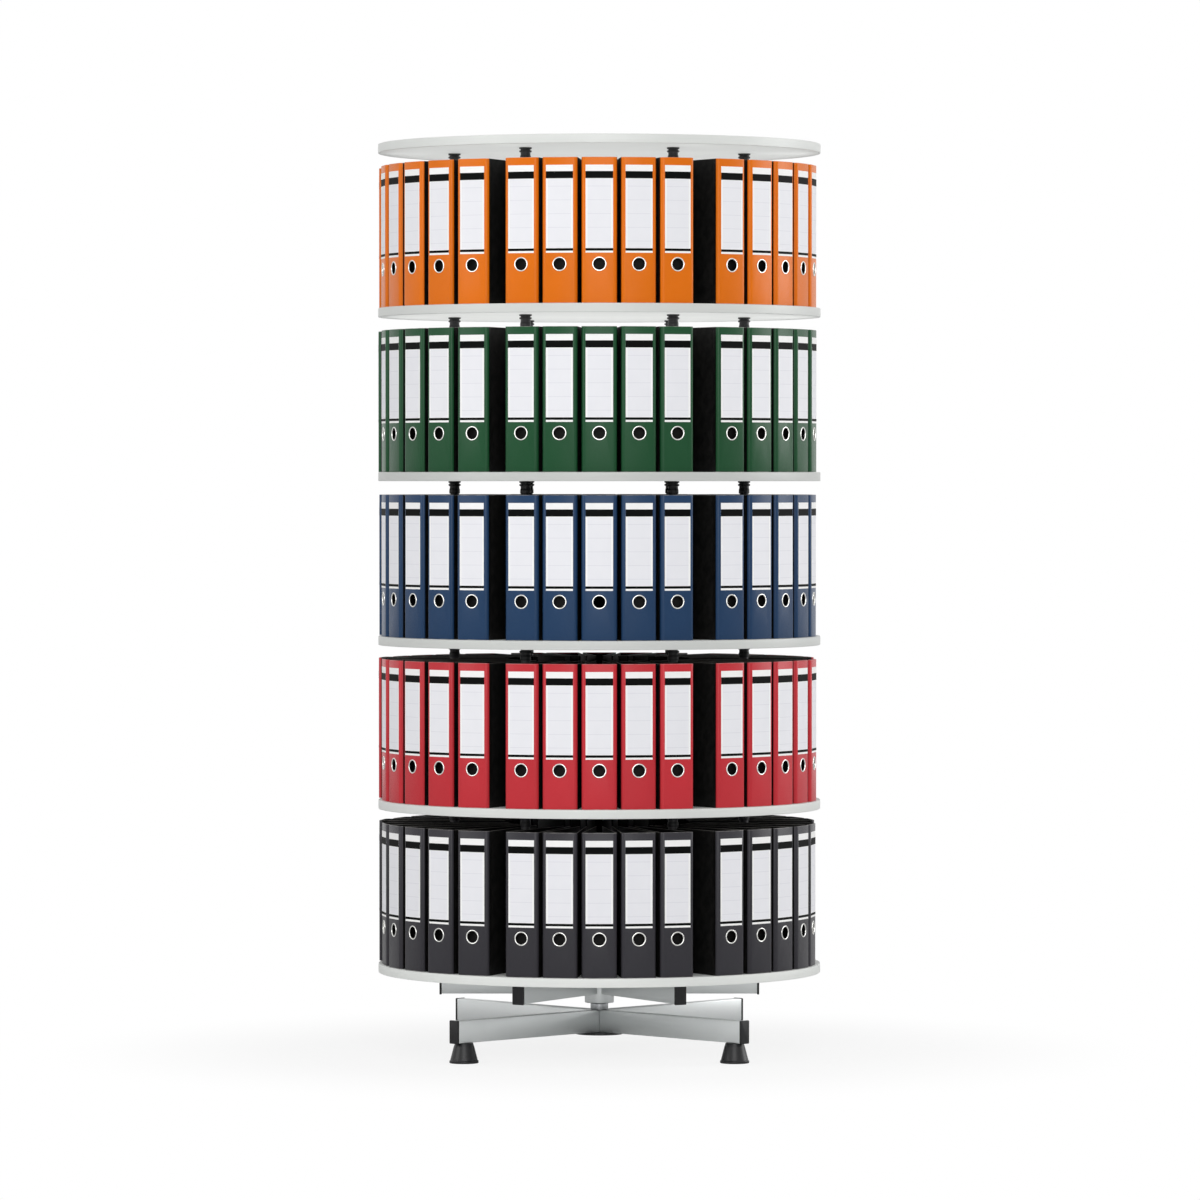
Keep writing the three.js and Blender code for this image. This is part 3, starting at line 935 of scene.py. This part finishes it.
def sleeve_profile(low, high):
    return ring_profile([
        (HUB_BORE, low, BORE_EDGE),
        (HUB_RADIUS, low, HUB_LOW_EDGE),
        (HUB_RADIUS, high, HUB_TOP_EDGE),
        (HUB_BORE, high, BORE_EDGE),
    ])


def dress_star():
    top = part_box("turntable_star")[1].z
    low = top - TUBE_HEIGHT
    half = TUBE_WIDTH / 2
    inner = INTO_HUB - HUB_RADIUS
    plan = [(-half, inner), (-half, -STAR_REACH), (half, -STAR_REACH), (half, inner)]
    arm = mark_places(prism_mesh("star_arm", plan, low, top, TUBE_EDGE), "bar_place")
    arm.transform(swung(POST_ANGLE))
    cap = cap_mesh("star_cap", STAR_CAP_LIP, STAR_REACH, low - STAR_CAP_LIP, top, POST_ANGLE)
    sleeve = turned_mesh("star_hub", sleeve_profile(HUB_BOTTOM, top), HUB_STEPS)
    hub = new_piece("star_hub", sleeve, silver)
    arms = set_around("star_arms", arm, silver, POST_COUNT)
    caps = set_around("star_caps", cap, black_moulded, POST_COUNT)
    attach(hub, "turning_column")
    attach(arms, "turning_column")
    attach(caps, "turning_column")
    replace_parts(arms, "turntable_star")


dress_star()

# %% [markdown]
# The floor cross is the same tube in four arms, cut to a point and welded where they meet. The cut ends
# are notched for the weld, so four dark seams run up the crossing. A round plate under it takes the
# foot of the spindle; the plate is steel, and its black is painted shade for the shadow under the
# crossing. The caps are a little larger than the tube and cover its raw end.

# %% Floor cross
CROSS_REACH = 452 * MM
CROSS_ANGLE = 45
ARM_COUNT = 4
CROSS_LOW = 45 * MM
CROSS_HIGH = CROSS_LOW + TUBE_HEIGHT
CROSS_CAP_LIP = 1 * MM
WELD_NOTCH = 1.6 * MM
HUB_PLATE_RADIUS = 55 * MM
HUB_PLATE_LOW = 40 * MM
HUB_PLATE_EDGE = 1 * MM


def cross_arm_mesh():
    half = TUBE_WIDTH / 2
    notch = half - WELD_NOTCH
    side = [(notch, -notch), (half, -half - WELD_NOTCH), (half, -CROSS_REACH)]
    plan = [(0, 0)] + [(-x, y) for x, y in side] + side[::-1]
    arm = mark_places(prism_mesh("cross_arm", plan, CROSS_LOW, CROSS_HIGH, TUBE_EDGE), "bar_place")
    arm.transform(swung(CROSS_ANGLE))
    return arm


def dress_floor_cross():
    arms = set_around("floor_cross_arms", cross_arm_mesh(), silver, ARM_COUNT)
    profile = rod_profile(HUB_PLATE_RADIUS, HUB_PLATE_LOW, CROSS_LOW, HUB_PLATE_EDGE)
    # the plate takes the posts' black coat as painted shade: the plate itself is steel, dark only from the
    # shadow under the crossing
    plate = new_piece("hub_plate", turned_mesh("hub_plate", profile, HUB_STEPS), post_black)
    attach(plate, "floor_base")
    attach(arms, "floor_base")
    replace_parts(arms, "base_cross")
    low, high = CROSS_LOW - CROSS_CAP_LIP, CROSS_HIGH + CROSS_CAP_LIP
    cap = cap_mesh("cross_cap", CROSS_CAP_LIP, CROSS_REACH + SEAT, low, high, CROSS_ANGLE)
    caps = set_around("floor_cross_caps", cap, black_moulded, ARM_COUNT)
    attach(caps, "floor_base")
    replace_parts(caps, *[f"base_cap_{i + 1}" for i in range(ARM_COUNT)])


dress_floor_cross()

# %% [markdown]
# Each foot is a moulded cone on a threaded stud, and each one levels on its own, so each is a piece of
# its own on its own body. The stud's thread is a row of rings in the lathe profile: it hides in the
# arm until the foot is screwed out, and then its ridges show.

# %% Feet
FOOT_CIRCLE = 425 * MM
FOOT_STEPS = 48
FOOT_NECK = CROSS_LOW - SEAT
STUD_RADIUS = 5 * MM
STUD_TOP = 82 * MM
THREAD_PITCH = 1.5 * MM
THREAD_DEPTH = 0.5 * MM
FOOT_CORNERS = [
    # radius, height, rounding
    mm(0, 0, 0),
    mm(31.5, 0, 0),
    mm(32.5, 1, 0.6),
    mm(32.5, 5, 1.2),
    mm(30.6, 7, 1),
    mm(23, 36, 2.5),
    (20 * MM, FOOT_NECK, 1 * MM),
    (STUD_RADIUS, FOOT_NECK, 0),
]


def foot_profile():
    points = rounded(FOOT_CORNERS, closed=False)
    turns = int((STUD_TOP - FOOT_NECK) / THREAD_PITCH)
    for turn in range(turns):
        height = FOOT_NECK + turn * THREAD_PITCH
        points.append(Vector((STUD_RADIUS - THREAD_DEPTH, height + THREAD_PITCH / 4)))
        points.append(Vector((STUD_RADIUS, height + THREAD_PITCH * 3 / 4)))
    points.append(Vector((0, FOOT_NECK + turns * THREAD_PITCH)))
    return points


def dress_foot(number):
    angle = CROSS_ANGLE + 360 / ARM_COUNT * (number - 1)
    place = swung(angle) @ Matrix.Translation((0.0, -FOOT_CIRCLE, 0.0))
    mesh = turned_mesh(f"cone_foot_{number}", foot_profile(), FOOT_STEPS, place)
    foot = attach(new_piece(mesh.name, mesh, black_moulded), f"levelling_foot_{number}")
    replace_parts(foot, f"foot_{number}")
    print(mesh.name, len(mesh.polygons), "faces")


for foot_number in range(1, ARM_COUNT + 1):
    dress_foot(foot_number)

# %% [markdown]
# Between the cross and the hub a short neck of the spindle shows, so it is turned again with real
# chamfers. The races, the ball cage, the bush and the nut are closed in by the hub. Their solids are
# right as they are and only take a finish.

# %% Spindle and bearing
SPINDLE_RADIUS = 12.5 * MM
SPINDLE_STEPS = 48
SHOULDER_RADIUS = 20 * MM
SHOULDER_TOP = 110 * MM
LOW_EDGE = 0.8 * MM
SHOULDER_EDGE = 1.2 * MM
TIP_EDGE = 2 * MM
BEARING_FINISHES = {
    "bearing_lower_race": turned_steel,
    "bearing_upper_race": turned_steel,
    "spindle_nut": turned_steel,
    "bearing_ball_cage": bronze,
    "guide_bush": bronze,
}


def dress_spindle():
    low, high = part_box("pivot_spindle")
    seat = CROSS_HIGH + SEAT
    profile = rounded([
        (0, low.z, 0),
        (SPINDLE_RADIUS, low.z, LOW_EDGE),
        (SPINDLE_RADIUS, seat, 0),
        (SHOULDER_RADIUS, seat, LOW_EDGE),
        (SHOULDER_RADIUS, SHOULDER_TOP, SHOULDER_EDGE),
        (SPINDLE_RADIUS, SHOULDER_TOP, 0),
        (SPINDLE_RADIUS, high.z, TIP_EDGE),
        (0, high.z, 0),
    ], closed=False)
    mesh = turned_mesh("turned_spindle", profile, SPINDLE_STEPS)
    spindle = new_piece(mesh.name, mesh, turned_steel)
    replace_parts(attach(spindle, "floor_base"), "pivot_spindle")


def finish_bearing():
    for node, finish in BEARING_FINISHES.items():
        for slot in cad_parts[node].material_slots:
            slot.material = finish


dress_spindle()
finish_bearing()
print("spindle turned,", len(BEARING_FINISHES), "bearing pieces finished")

# %% [markdown]
# Now the files. A lever-arch file closes to a wedge: 80 mm at the spine, and at the fore-edge as thick
# as the paper in it. Its parts are modelled once, in the file's own frame, with the spine across X at
# Y = 0 and the fore-edge towards +Y. The jacket is the spine board with its foil, bent round both
# edges as far as the covers, so a round edge shows on each side of the label. A boolean drills the
# finger hole.

# %% File jacket
FILE_WIDTH = 80 * MM
FILE_DEPTH = 285 * MM
FORE_HALF = 9 * MM
SPINE_BOARD = 2.5 * MM
SPINE_ROUND = 9 * MM
TONGUE_REACH = 10.5 * MM
TONGUE_THICKNESS = 1 * MM
TONGUE_EDGE = 0.3 * MM
JACKET_EDGE = 0.7 * MM
FINGER_HOLE = 13.5 * MM
FINGER_HEIGHT = 85 * MM
HOLE_STEPS = 28
DRILL_LENGTH = 10 * MM


def cover_line(y, inset=0.0, fore_half=FORE_HALF):
    """Half width of a file at a depth y, less an inset; fore_half is what it comes down to."""
    half = FILE_WIDTH / 2
    return half - (half - fore_half) * y / FILE_DEPTH - inset


def mirrored(half_outline):
    """A closed outline from its right half, listed from the spine round to the inside."""
    return half_outline + [(-x, y, radius) for x, y, radius in reversed(half_outline)]


def jacket_outline(fore_half):
    tip = TONGUE_REACH
    inside = TONGUE_THICKNESS
    half = [
        (FILE_WIDTH / 2, 0, SPINE_ROUND),
        (cover_line(tip, 0.0, fore_half), tip, TONGUE_EDGE),
        (cover_line(tip, inside, fore_half), tip, TONGUE_EDGE),
        (cover_line(SPINE_BOARD, inside, fore_half), SPINE_BOARD, SPINE_ROUND - SPINE_BOARD),
    ]
    return rounded(mirrored(half))


def drilled(mesh):
    """The jacket with the finger hole through its spine."""
    block = new_piece("jacket_blank", mesh)
    outline = circle(FINGER_HOLE, HOLE_STEPS)
    place = Matrix.Translation((0.0, DRILL_LENGTH / 2, FINGER_HEIGHT)) @ LYING
    bit = prism_mesh("jacket_drill", outline, 0.0, DRILL_LENGTH, turn=place)
    drill = new_piece("jacket_drill", bit)
    cut = block.modifiers.new("finger_hole", "BOOLEAN")
    cut.object = drill
    cut.solver = "EXACT"
    graph = bpy.context.evaluated_depsgraph_get()
    result = bpy.data.meshes.new_from_object(block.evaluated_get(graph), depsgraph=graph)
    bpy.data.objects.remove(block)
    bpy.data.objects.remove(drill)
    result.set_sharp_from_angle(angle=SMOOTH_UNDER)
    return result


def jacket_mesh(fore_half):
    blank = prism_mesh("file_jacket", jacket_outline(fore_half), 0.0, FILE_HEIGHT, JACKET_EDGE)
    return mark_places(drilled(blank), "file_place")


jacket = jacket_mesh(FORE_HALF)
print("file jacket", len(jacket.polygons), "faces")

# %% [markdown]
# The covers are stiff boards that slip under the tongues of foil and come flush behind them, with a
# pressed groove where they hinge. An inner board closes the space behind the spine, so the finger hole
# looks into the dark. Three prisms in one mesh make them.

# %% File covers
COVER_THICKNESS = 2.9 * MM
COVER_START = 9.7 * MM
COVER_STEP = TONGUE_REACH + 0.6 * MM
COVER_UNDER = TONGUE_THICKNESS + 0.1 * MM
COVER_FLUSH = 0.15 * MM
COVER_CORNER = 1 * MM
COVER_EDGE = 0.6 * MM
GROOVE = mm(17, 18, 21, 22)
GROOVE_DEPTH = 0.6 * MM
INNER_BOARD = mm(14.5, 16)
INNER_GAP = 0.2 * MM
INNER_SHORT = 2 * MM


def cover_outline(side, fore_half):
    corners = [
        # depth in the file, inset from its side, rounding
        (COVER_START, COVER_UNDER, 0),
        (COVER_STEP, COVER_UNDER, 0),
        (COVER_STEP, COVER_FLUSH, 0),
        (GROOVE[0], COVER_FLUSH, 0),
        (GROOVE[1], GROOVE_DEPTH, 0),
        (GROOVE[2], GROOVE_DEPTH, 0),
        (GROOVE[3], COVER_FLUSH, 0),
        (FILE_DEPTH, COVER_FLUSH, COVER_CORNER),
        (FILE_DEPTH, COVER_THICKNESS, COVER_CORNER),
        (COVER_START, COVER_THICKNESS, 0),
    ]
    return rounded([(side * cover_line(y, inset, fore_half), y, bend) for y, inset, bend in corners])


def covers_mesh(fore_half, with_inner_board):
    form = bmesh.new()
    for side in (-1, 1):
        add_prism(form, cover_outline(side, fore_half), 0.0, FILE_HEIGHT, COVER_EDGE)
    if with_inner_board:
        front, back = INNER_BOARD
        half = cover_line(back, COVER_THICKNESS + INNER_GAP)
        board = [(-half, front), (half, front), (half, back), (-half, back)]
        add_prism(form, board, INNER_SHORT, FILE_HEIGHT - INNER_SHORT)
    return mark_places(finished_mesh(form, "file_covers"), "file_place")


covers = covers_mesh(FORE_HALF, with_inner_board=True)
print("file covers", len(covers.polygons), "faces")

# %% [markdown]
# The label is a thin sheet glued on the spine, and its field and its two dark prints lie on it. All of
# them are slabs a fraction of a millimetre thick, so they have edges that catch the light and no two
# faces share a plane. The finger ring is a nickel eyelet, turned and then tipped to face forward: a
# rounded flange on the spine and a short tube into the hole.

# %% Label and ring
LABEL_WIDTH = 60.2 * MM
LABEL_TOP = FILE_HEIGHT - 17.2 * MM
LABEL_LOW = LABEL_TOP - 192.3 * MM
BAND = (LABEL_TOP - 29.6 * MM, LABEL_TOP - 14 * MM)
FOOT_LINE = (LABEL_LOW + 4.4 * MM, LABEL_LOW + 9.9 * MM)
FIELD = (FOOT_LINE[1] + 1 * MM, BAND[0] - 1 * MM)
FIELD_WIDTH = LABEL_WIDTH - 8.6 * MM
PAPER = 0.25 * MM
INK = 0.35 * MM
GLUED = 0.2 * MM
RING_STEPS = 28
RING_CORNERS = [
    # radius, distance before the spine, rounding
    mm(12.9, -2.2, 0),
    mm(12.9, 1.5, 1.4),
    mm(15.9, 1.3, 1.2),
    mm(15.9, -0.1, 0),
    mm(13.5, -0.1, 0),
    mm(13.4, -2.2, 0),
]


def slab_mesh(name, *slabs):
    """Sheets on the spine, each with its width, two heights and how far it stands out."""
    form = bmesh.new()
    for width, low, high, proud in slabs:
        half = width / 2
        outline = [(-half, -proud), (half, -proud), (half, GLUED), (-half, GLUED)]
        add_prism(form, outline, low, high)
    return mark_places(finished_mesh(form, name), "file_place")


def ring_mesh():
    facing = Matrix.Translation((0.0, 0.0, FINGER_HEIGHT)) @ LYING
    mesh = turned_mesh("finger_ring", ring_profile(RING_CORNERS), RING_STEPS, facing)
    return mark_places(mesh, "file_place")


sheet = slab_mesh("label_paper", (LABEL_WIDTH, LABEL_LOW, LABEL_TOP, PAPER))
field = slab_mesh("label_field", (FIELD_WIDTH, *FIELD, INK))
prints = slab_mesh("label_print", (LABEL_WIDTH, *BAND, INK), (LABEL_WIDTH, *FOOT_LINE, INK))
label_meshes = {
    "label_papers": (sheet, label_paper),
    "label_fields": (field, label_field),
    "label_prints": (prints, label_print),
}
ring = ring_mesh()
print("label of", len(label_meshes), "layers, finger ring", len(ring.polygons), "faces")

# %% [markdown]
# The files stand in six groups of five between the posts, and every file faces outward on its own
# angle, turned a few degrees about its spine as a hand left it. On every tier one file at the back
# left stands a little forward, where the photograph shows its foil past its neighbour's edge. A mesh
# of bare points holds these places, with a facing and a number for each.

# %% Places of the files
SPINE_CIRCLE = 494 * MM
FRONT_PITCH = 10.2
RIGHT_PITCH = 10.4
LEFT_PITCH = 11.35
RIGHT_MIDDLE = 57.1
LEFT_MIDDLE = -57.35
STRAIGHT = (0.0, 0.0, 0.0, 0.0, 0.0)
RIGHT_TURNS = (1.0, 0.0, 0.5, 0.0, 1.0)
LEFT_TURNS = (0.0, 0.5, 1.0, 2.5, 7.0)
STANDS_FORWARD = {("left_back", 4): 10 * MM}
PULL_OUT = (3, "front", 2)
NUMBERS_PER_TIER = 100


def reflected(turns):
    """The turns of a group as they stand on the other side of the column."""
    return tuple(-turn for turn in reversed(turns))


FILE_GROUPS = {
    "front": (0.0, FRONT_PITCH, STRAIGHT),
    "right_front": (RIGHT_MIDDLE, RIGHT_PITCH, RIGHT_TURNS),
    "right_back": (180 - RIGHT_MIDDLE, RIGHT_PITCH, reflected(RIGHT_TURNS)),
    "back": (180.0, FRONT_PITCH, STRAIGHT),
    "left_back": (-180 - LEFT_MIDDLE, LEFT_PITCH, reflected(LEFT_TURNS)),
    "left_front": (LEFT_MIDDLE, LEFT_PITCH, LEFT_TURNS),
}


def file_places(tier, drawn=False):
    """Places of the standing files of a tier, or of the one file that draws out."""
    places = []
    for group, (middle, pitch, turns) in FILE_GROUPS.items():
        for index, turn in enumerate(turns):
            if ((tier, group, index) == PULL_OUT) is not drawn:
                continue
            angle = math.radians(middle + (index - (len(turns) - 1) / 2) * pitch)
            out = SPINE_CIRCLE + STANDS_FORWARD.get((group, index), 0.0)
            spot = (out * math.sin(angle), -out * math.cos(angle), shelf_tops[tier] + SEAT)
            number = NUMBERS_PER_TIER * tier + len(places)
            places.append((spot, angle + math.radians(turn), number))
    return places


def places_mesh(places):
    mesh = bpy.data.meshes.new("file_places")
    mesh.from_pydata([spot for spot, _, _ in places], [], [])
    facing = mesh.attributes.new("facing", "FLOAT", "POINT")
    facing.data.foreach_set("value", [turn for _, turn, _ in places])
    number = mesh.attributes.new("number", "INT", "POINT")
    number.data.foreach_set("value", [count for _, _, count in places])
    return mesh


print("places on each tier", [len(file_places(tier)) for tier in TIERS])

# %% [markdown]
# The tree sets a copy of a part on every point, pushes it in by up to a few millimetres, and stores
# the tone that tells one foil from the next. Seed and number are the same for every part, so spine,
# covers, label and ring stay together.

# %% Standing the files
MOST_PUSH = 2.5 * MM
FILE_SEED = 11


def stand_files_tree():
    inputs = {
        "Places": "Geometry",
        "Template": "Object",
        "Most Push": "Float",
        "Seed": "Int",
        "Finish": "Material",
    }
    tree, given = new_tree("stand_files", inputs)
    start = Wire(tree)

    def stored(name, kind):
        return start.node("GeometryNodeInputNamedAttribute", {"data_type": kind}, {"Name": name})

    def chance(most, seed):
        sockets = {2: 0.0, 3: most, "ID": stored("number", "INT"), "Seed": seed}
        return start.node("FunctionNodeRandomValue", {"data_type": "FLOAT"}, sockets, out=1)

    facing = stored("facing", "FLOAT")
    push = chance(given["Most Push"], given["Seed"])
    inward = {"X": facing.math("SINE") * push * -1.0, "Y": facing.math("COSINE") * push}
    offset = start.node("ShaderNodeCombineXYZ", None, inward)
    move = {"Geometry": given["Places"], "Offset": offset}
    pushed = start.node("GeometryNodeSetPosition", None, move)
    turn = start.node("ShaderNodeCombineXYZ", None, {"Z": facing})
    sockets = {"Points": pushed, "Instance": copy_of(given["Template"]), "Rotation": turn}
    stood = start.node("GeometryNodeInstanceOnPoints", None, sockets)
    tone = {"Geometry": stood, "Name": "file_tone", "Value": chance(1.0, given["Seed"] + 1)}
    per_file = {"data_type": "FLOAT", "domain": "INSTANCE"}
    toned = start.node("GeometryNodeStoreNamedAttribute", per_file, tone)
    close_tree(toned, given["Finish"])
    return tree


files_tree = stand_files_tree()


def stand(name, mesh, finish, places, push=MOST_PUSH):
    """A copy of one part of a file at every place."""
    template = new_piece(f"{name}_template", mesh)
    values = {"Template": template, "Most Push": push, "Seed": FILE_SEED, "Finish": finish}
    piece = grown(name, places_mesh(places), files_tree, values)
    bpy.data.objects.remove(template)
    print(name, len(places), "files,", len(piece.data.polygons), "faces")
    return piece


def dress_files():
    for tier in TIERS:
        spines = stand(f"tier_{tier}_spines", jacket, foils[tier], file_places(tier))
        blocks = [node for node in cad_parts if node.startswith(f"files_{tier}_")]
        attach(spines, "turning_column")
        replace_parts(spines, *blocks)
    everywhere = [place for tier in TIERS for place in file_places(tier)]
    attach(stand("file_covers", covers, cover_paper, everywhere), "turning_column")
    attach(stand("finger_rings", ring, nickel, everywhere), "turning_column")
    for name, (mesh, finish) in label_meshes.items():
        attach(stand(name, mesh, finish, everywhere), "turning_column")


dress_files()

# %% [markdown]
# One file on the middle tier draws out, so its inside comes to view, and the inside of such a file is
# its lever arch. A pressed plate is riveted to the right cover; two pins stand on it, 80 mm apart like
# the holes of punched paper, and two bent wires on a hinge bar close over their tips. This step makes
# the round parts: wire drawn along a path, and a bar turned about its own axis.

# %% Arch wires
PIN_TIP = 46 * MM
PIN_LINE = 8 * MM
HINGE_LINE = -13 * MM
HINGE_BAR_LENGTH = 94 * MM
HINGE_BAR_RADIUS = 3 * MM
HINGE_BAR_HEIGHT = 4 * MM
BAR_EDGE = 0.5 * MM
ARCH_FOOT = 3 * MM
ARCH_TOP = 54 * MM
ARCH_BEND = 9 * MM
WIRE_RADIUS = 2 * MM
WIRE_STEPS = 10


def add_wire(form, path):
    """A round wire along a path of points that lies across X."""
    across = Vector((1.0, 0.0, 0.0))
    points = [Vector(point) for point in path]
    rings = []
    for i, point in enumerate(points):
        along = (points[min(i + 1, len(points) - 1)] - points[max(i - 1, 0)]).normalized()
        up = across.cross(along)
        spokes = circle(WIRE_RADIUS, WIRE_STEPS)
        rings.append([form.verts.new(point + x * across + y * up) for x, y in spokes])
    for lower, upper in zip(rings, rings[1:]):
        for k in range(WIRE_STEPS):
            n = (k + 1) % WIRE_STEPS
            form.faces.new((lower[k], lower[n], upper[n], upper[k]))
    form.faces.new(rings[0])
    form.faces.new(rings[-1])


def add_arch(form, x):
    """One pin and the wire that closes over its tip."""
    add_wire(form, [(x, PIN_LINE, 0.0), (x, PIN_LINE, PIN_TIP)])
    bend = rounded([
        (HINGE_LINE, ARCH_FOOT, 0),
        (HINGE_LINE, ARCH_TOP, ARCH_BEND),
        (PIN_LINE, ARCH_TOP, ARCH_BEND),
        (PIN_LINE, PIN_TIP, 0),
    ], closed=False)
    add_wire(form, [(x, y, z) for y, z in bend])


def add_hinge_bar(form):
    """A bar along X with soft ends, turned upright first and laid on the hinge line."""
    end = HINGE_BAR_LENGTH / 2
    along_x = Matrix.Rotation(math.pi / 2, 4, "Y")
    place = Matrix.Translation((0.0, HINGE_LINE, HINGE_BAR_HEIGHT)) @ along_x
    bar = turned_mesh("hinge_bar", rod_profile(HINGE_BAR_RADIUS, -end, end, BAR_EDGE), WIRE_STEPS, place)
    form.from_mesh(bar)
    bpy.data.meshes.remove(bar)


print("arch wires reach", round(ARCH_TOP / MM), "mm above the cover")

# %% [markdown]
# The rest of the mechanism is pressed sheet: the plate with its rib and rivets, the bar that holds the
# sheets down, and the lever with a roll for the thumb. All of it is modelled flat, with the plate in X
# and Y and the cover's inner face at Z = 0, and then one matrix lays it on the sloping cover. Grey
# paper lines both covers.

# %% Lever arch
DRAWN_FORE_HALF = 17.9 * MM
ARCH_DEPTH = 48 * MM
PIN_SPACING = 80 * MM
LINING = 0.2 * MM
LINING_DEPTHS = (COVER_START + 4 * MM, FILE_DEPTH - 6 * MM)
LINING_SHORT = 5 * MM
PRESSED_PARTS = {
    # length and width, corner radius, middle, heights of both faces, broken edge
    "plate": (mm(164, 38), 6 * MM, (0.0, 0.0), mm(0, 1.2), 0.4 * MM),
    "rib": (mm(134, 10), 4 * MM, (0.0, 0.0), mm(0, 3), 0.8 * MM),
    "low_rivet": (mm(8, 8), 3.9 * MM, mm(-73, 0), mm(0, 2.4), 0.8 * MM),
    "high_rivet": (mm(8, 8), 3.9 * MM, mm(73, 0), mm(0, 2.4), 0.8 * MM),
    "sheet_bar": (mm(118, 8), 3.5 * MM, mm(0, -2), mm(15, 16.5), 0.4 * MM),
    "lever": (mm(92, 9), 4 * MM, (30 * MM, HINGE_LINE), mm(8, 10), 0.5 * MM),
}
LEVER_ROLL = (mm(9, 20), 4 * MM, (76 * MM, HINGE_LINE), mm(6.5, 14), 2.5 * MM)


def cover_face():
    """Lays the flat mechanism on the inner face of the right cover."""
    slope = math.atan2(FILE_WIDTH / 2 - DRAWN_FORE_HALF, FILE_DEPTH)
    into_file = Vector((-math.cos(slope), -math.sin(slope), 0.0))
    along_cover = Vector((-math.sin(slope), math.cos(slope), 0.0))
    inner_face = cover_line(ARCH_DEPTH, COVER_THICKNESS + LINING, DRAWN_FORE_HALF)
    spot = Vector((inner_face, ARCH_DEPTH, FILE_HEIGHT / 2))
    columns = (Vector((0.0, 0.0, 1.0)), along_cover, into_file, spot)
    rows = [[column[i] for column in columns] for i in range(3)]
    return Matrix(rows + [[0.0, 0.0, 0.0, 1.0]])


def add_pressed(form, part):
    size, corner, middle, heights, edge = part
    add_prism(form, rectangle(*size, corner, *middle), *heights, edge)


def arch_mesh():
    form = bmesh.new()
    for part in PRESSED_PARTS.values():
        add_pressed(form, part)
    for side in (-1, 1):
        add_arch(form, side * PIN_SPACING / 2)
    add_hinge_bar(form)
    return mark_places(finished_mesh(form, "lever_arch", cover_face()), "file_place")


def grip_mesh():
    """The roll at the lever's free end, where the thumb goes."""
    form = bmesh.new()
    add_pressed(form, LEVER_ROLL)
    return mark_places(finished_mesh(form, "lever_grip", cover_face()), "file_place")


def lining_mesh():
    """Paper pasted on the inside of both covers, short of their edges."""
    form = bmesh.new()
    start, end = LINING_DEPTHS
    outer, inner = COVER_THICKNESS, COVER_THICKNESS + LINING
    line = [(start, outer), (end, outer), (end, inner), (start, inner)]
    for side in (-1, 1):
        outline = [(side * cover_line(y, inset, DRAWN_FORE_HALF), y) for y, inset in line]
        add_prism(form, outline, LINING_SHORT, FILE_HEIGHT - LINING_SHORT)
    return mark_places(finished_mesh(form, "file_lining"), "file_place")


lever_arch = arch_mesh()
print("lever arch", len(lever_arch.polygons), "faces")

# %% [markdown]
# The drawn-out file takes the same label and ring as the others and stands on its own body. It holds no
# paper yet its covers stand wider apart, as an empty file's do, so jacket and covers are made again
# for that width, without the inner board. The lever arch and the lining go inside.

# %% The file that draws out
drawn_place = file_places(PULL_OUT[0], drawn=True)
drawn_parts = {
    "drawn_file_covers": (covers_mesh(DRAWN_FORE_HALF, with_inner_board=False), cover_paper),
    "drawn_file_lining": (lining_mesh(), lining_paper),
    "drawn_file_ring": (ring, nickel),
    "drawn_file_lever_arch": (lever_arch, nickel),
    "drawn_file_lever_grip": (grip_mesh(), black_moulded),
    "drawn_file_label_paper": label_meshes["label_papers"],
    "drawn_file_label_field": label_meshes["label_fields"],
    "drawn_file_label_print": label_meshes["label_prints"],
}


def dress_drawn_file():
    foil = foils[PULL_OUT[0]]
    spine = stand("drawn_file_spine", jacket_mesh(DRAWN_FORE_HALF), foil, drawn_place, push=0.0)
    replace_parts(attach(spine, "drawn_file"), "pull_out_file")
    for name, (mesh, finish) in drawn_parts.items():
        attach(stand(name, mesh, finish, drawn_place, push=0.0), "drawn_file")


dress_drawn_file()
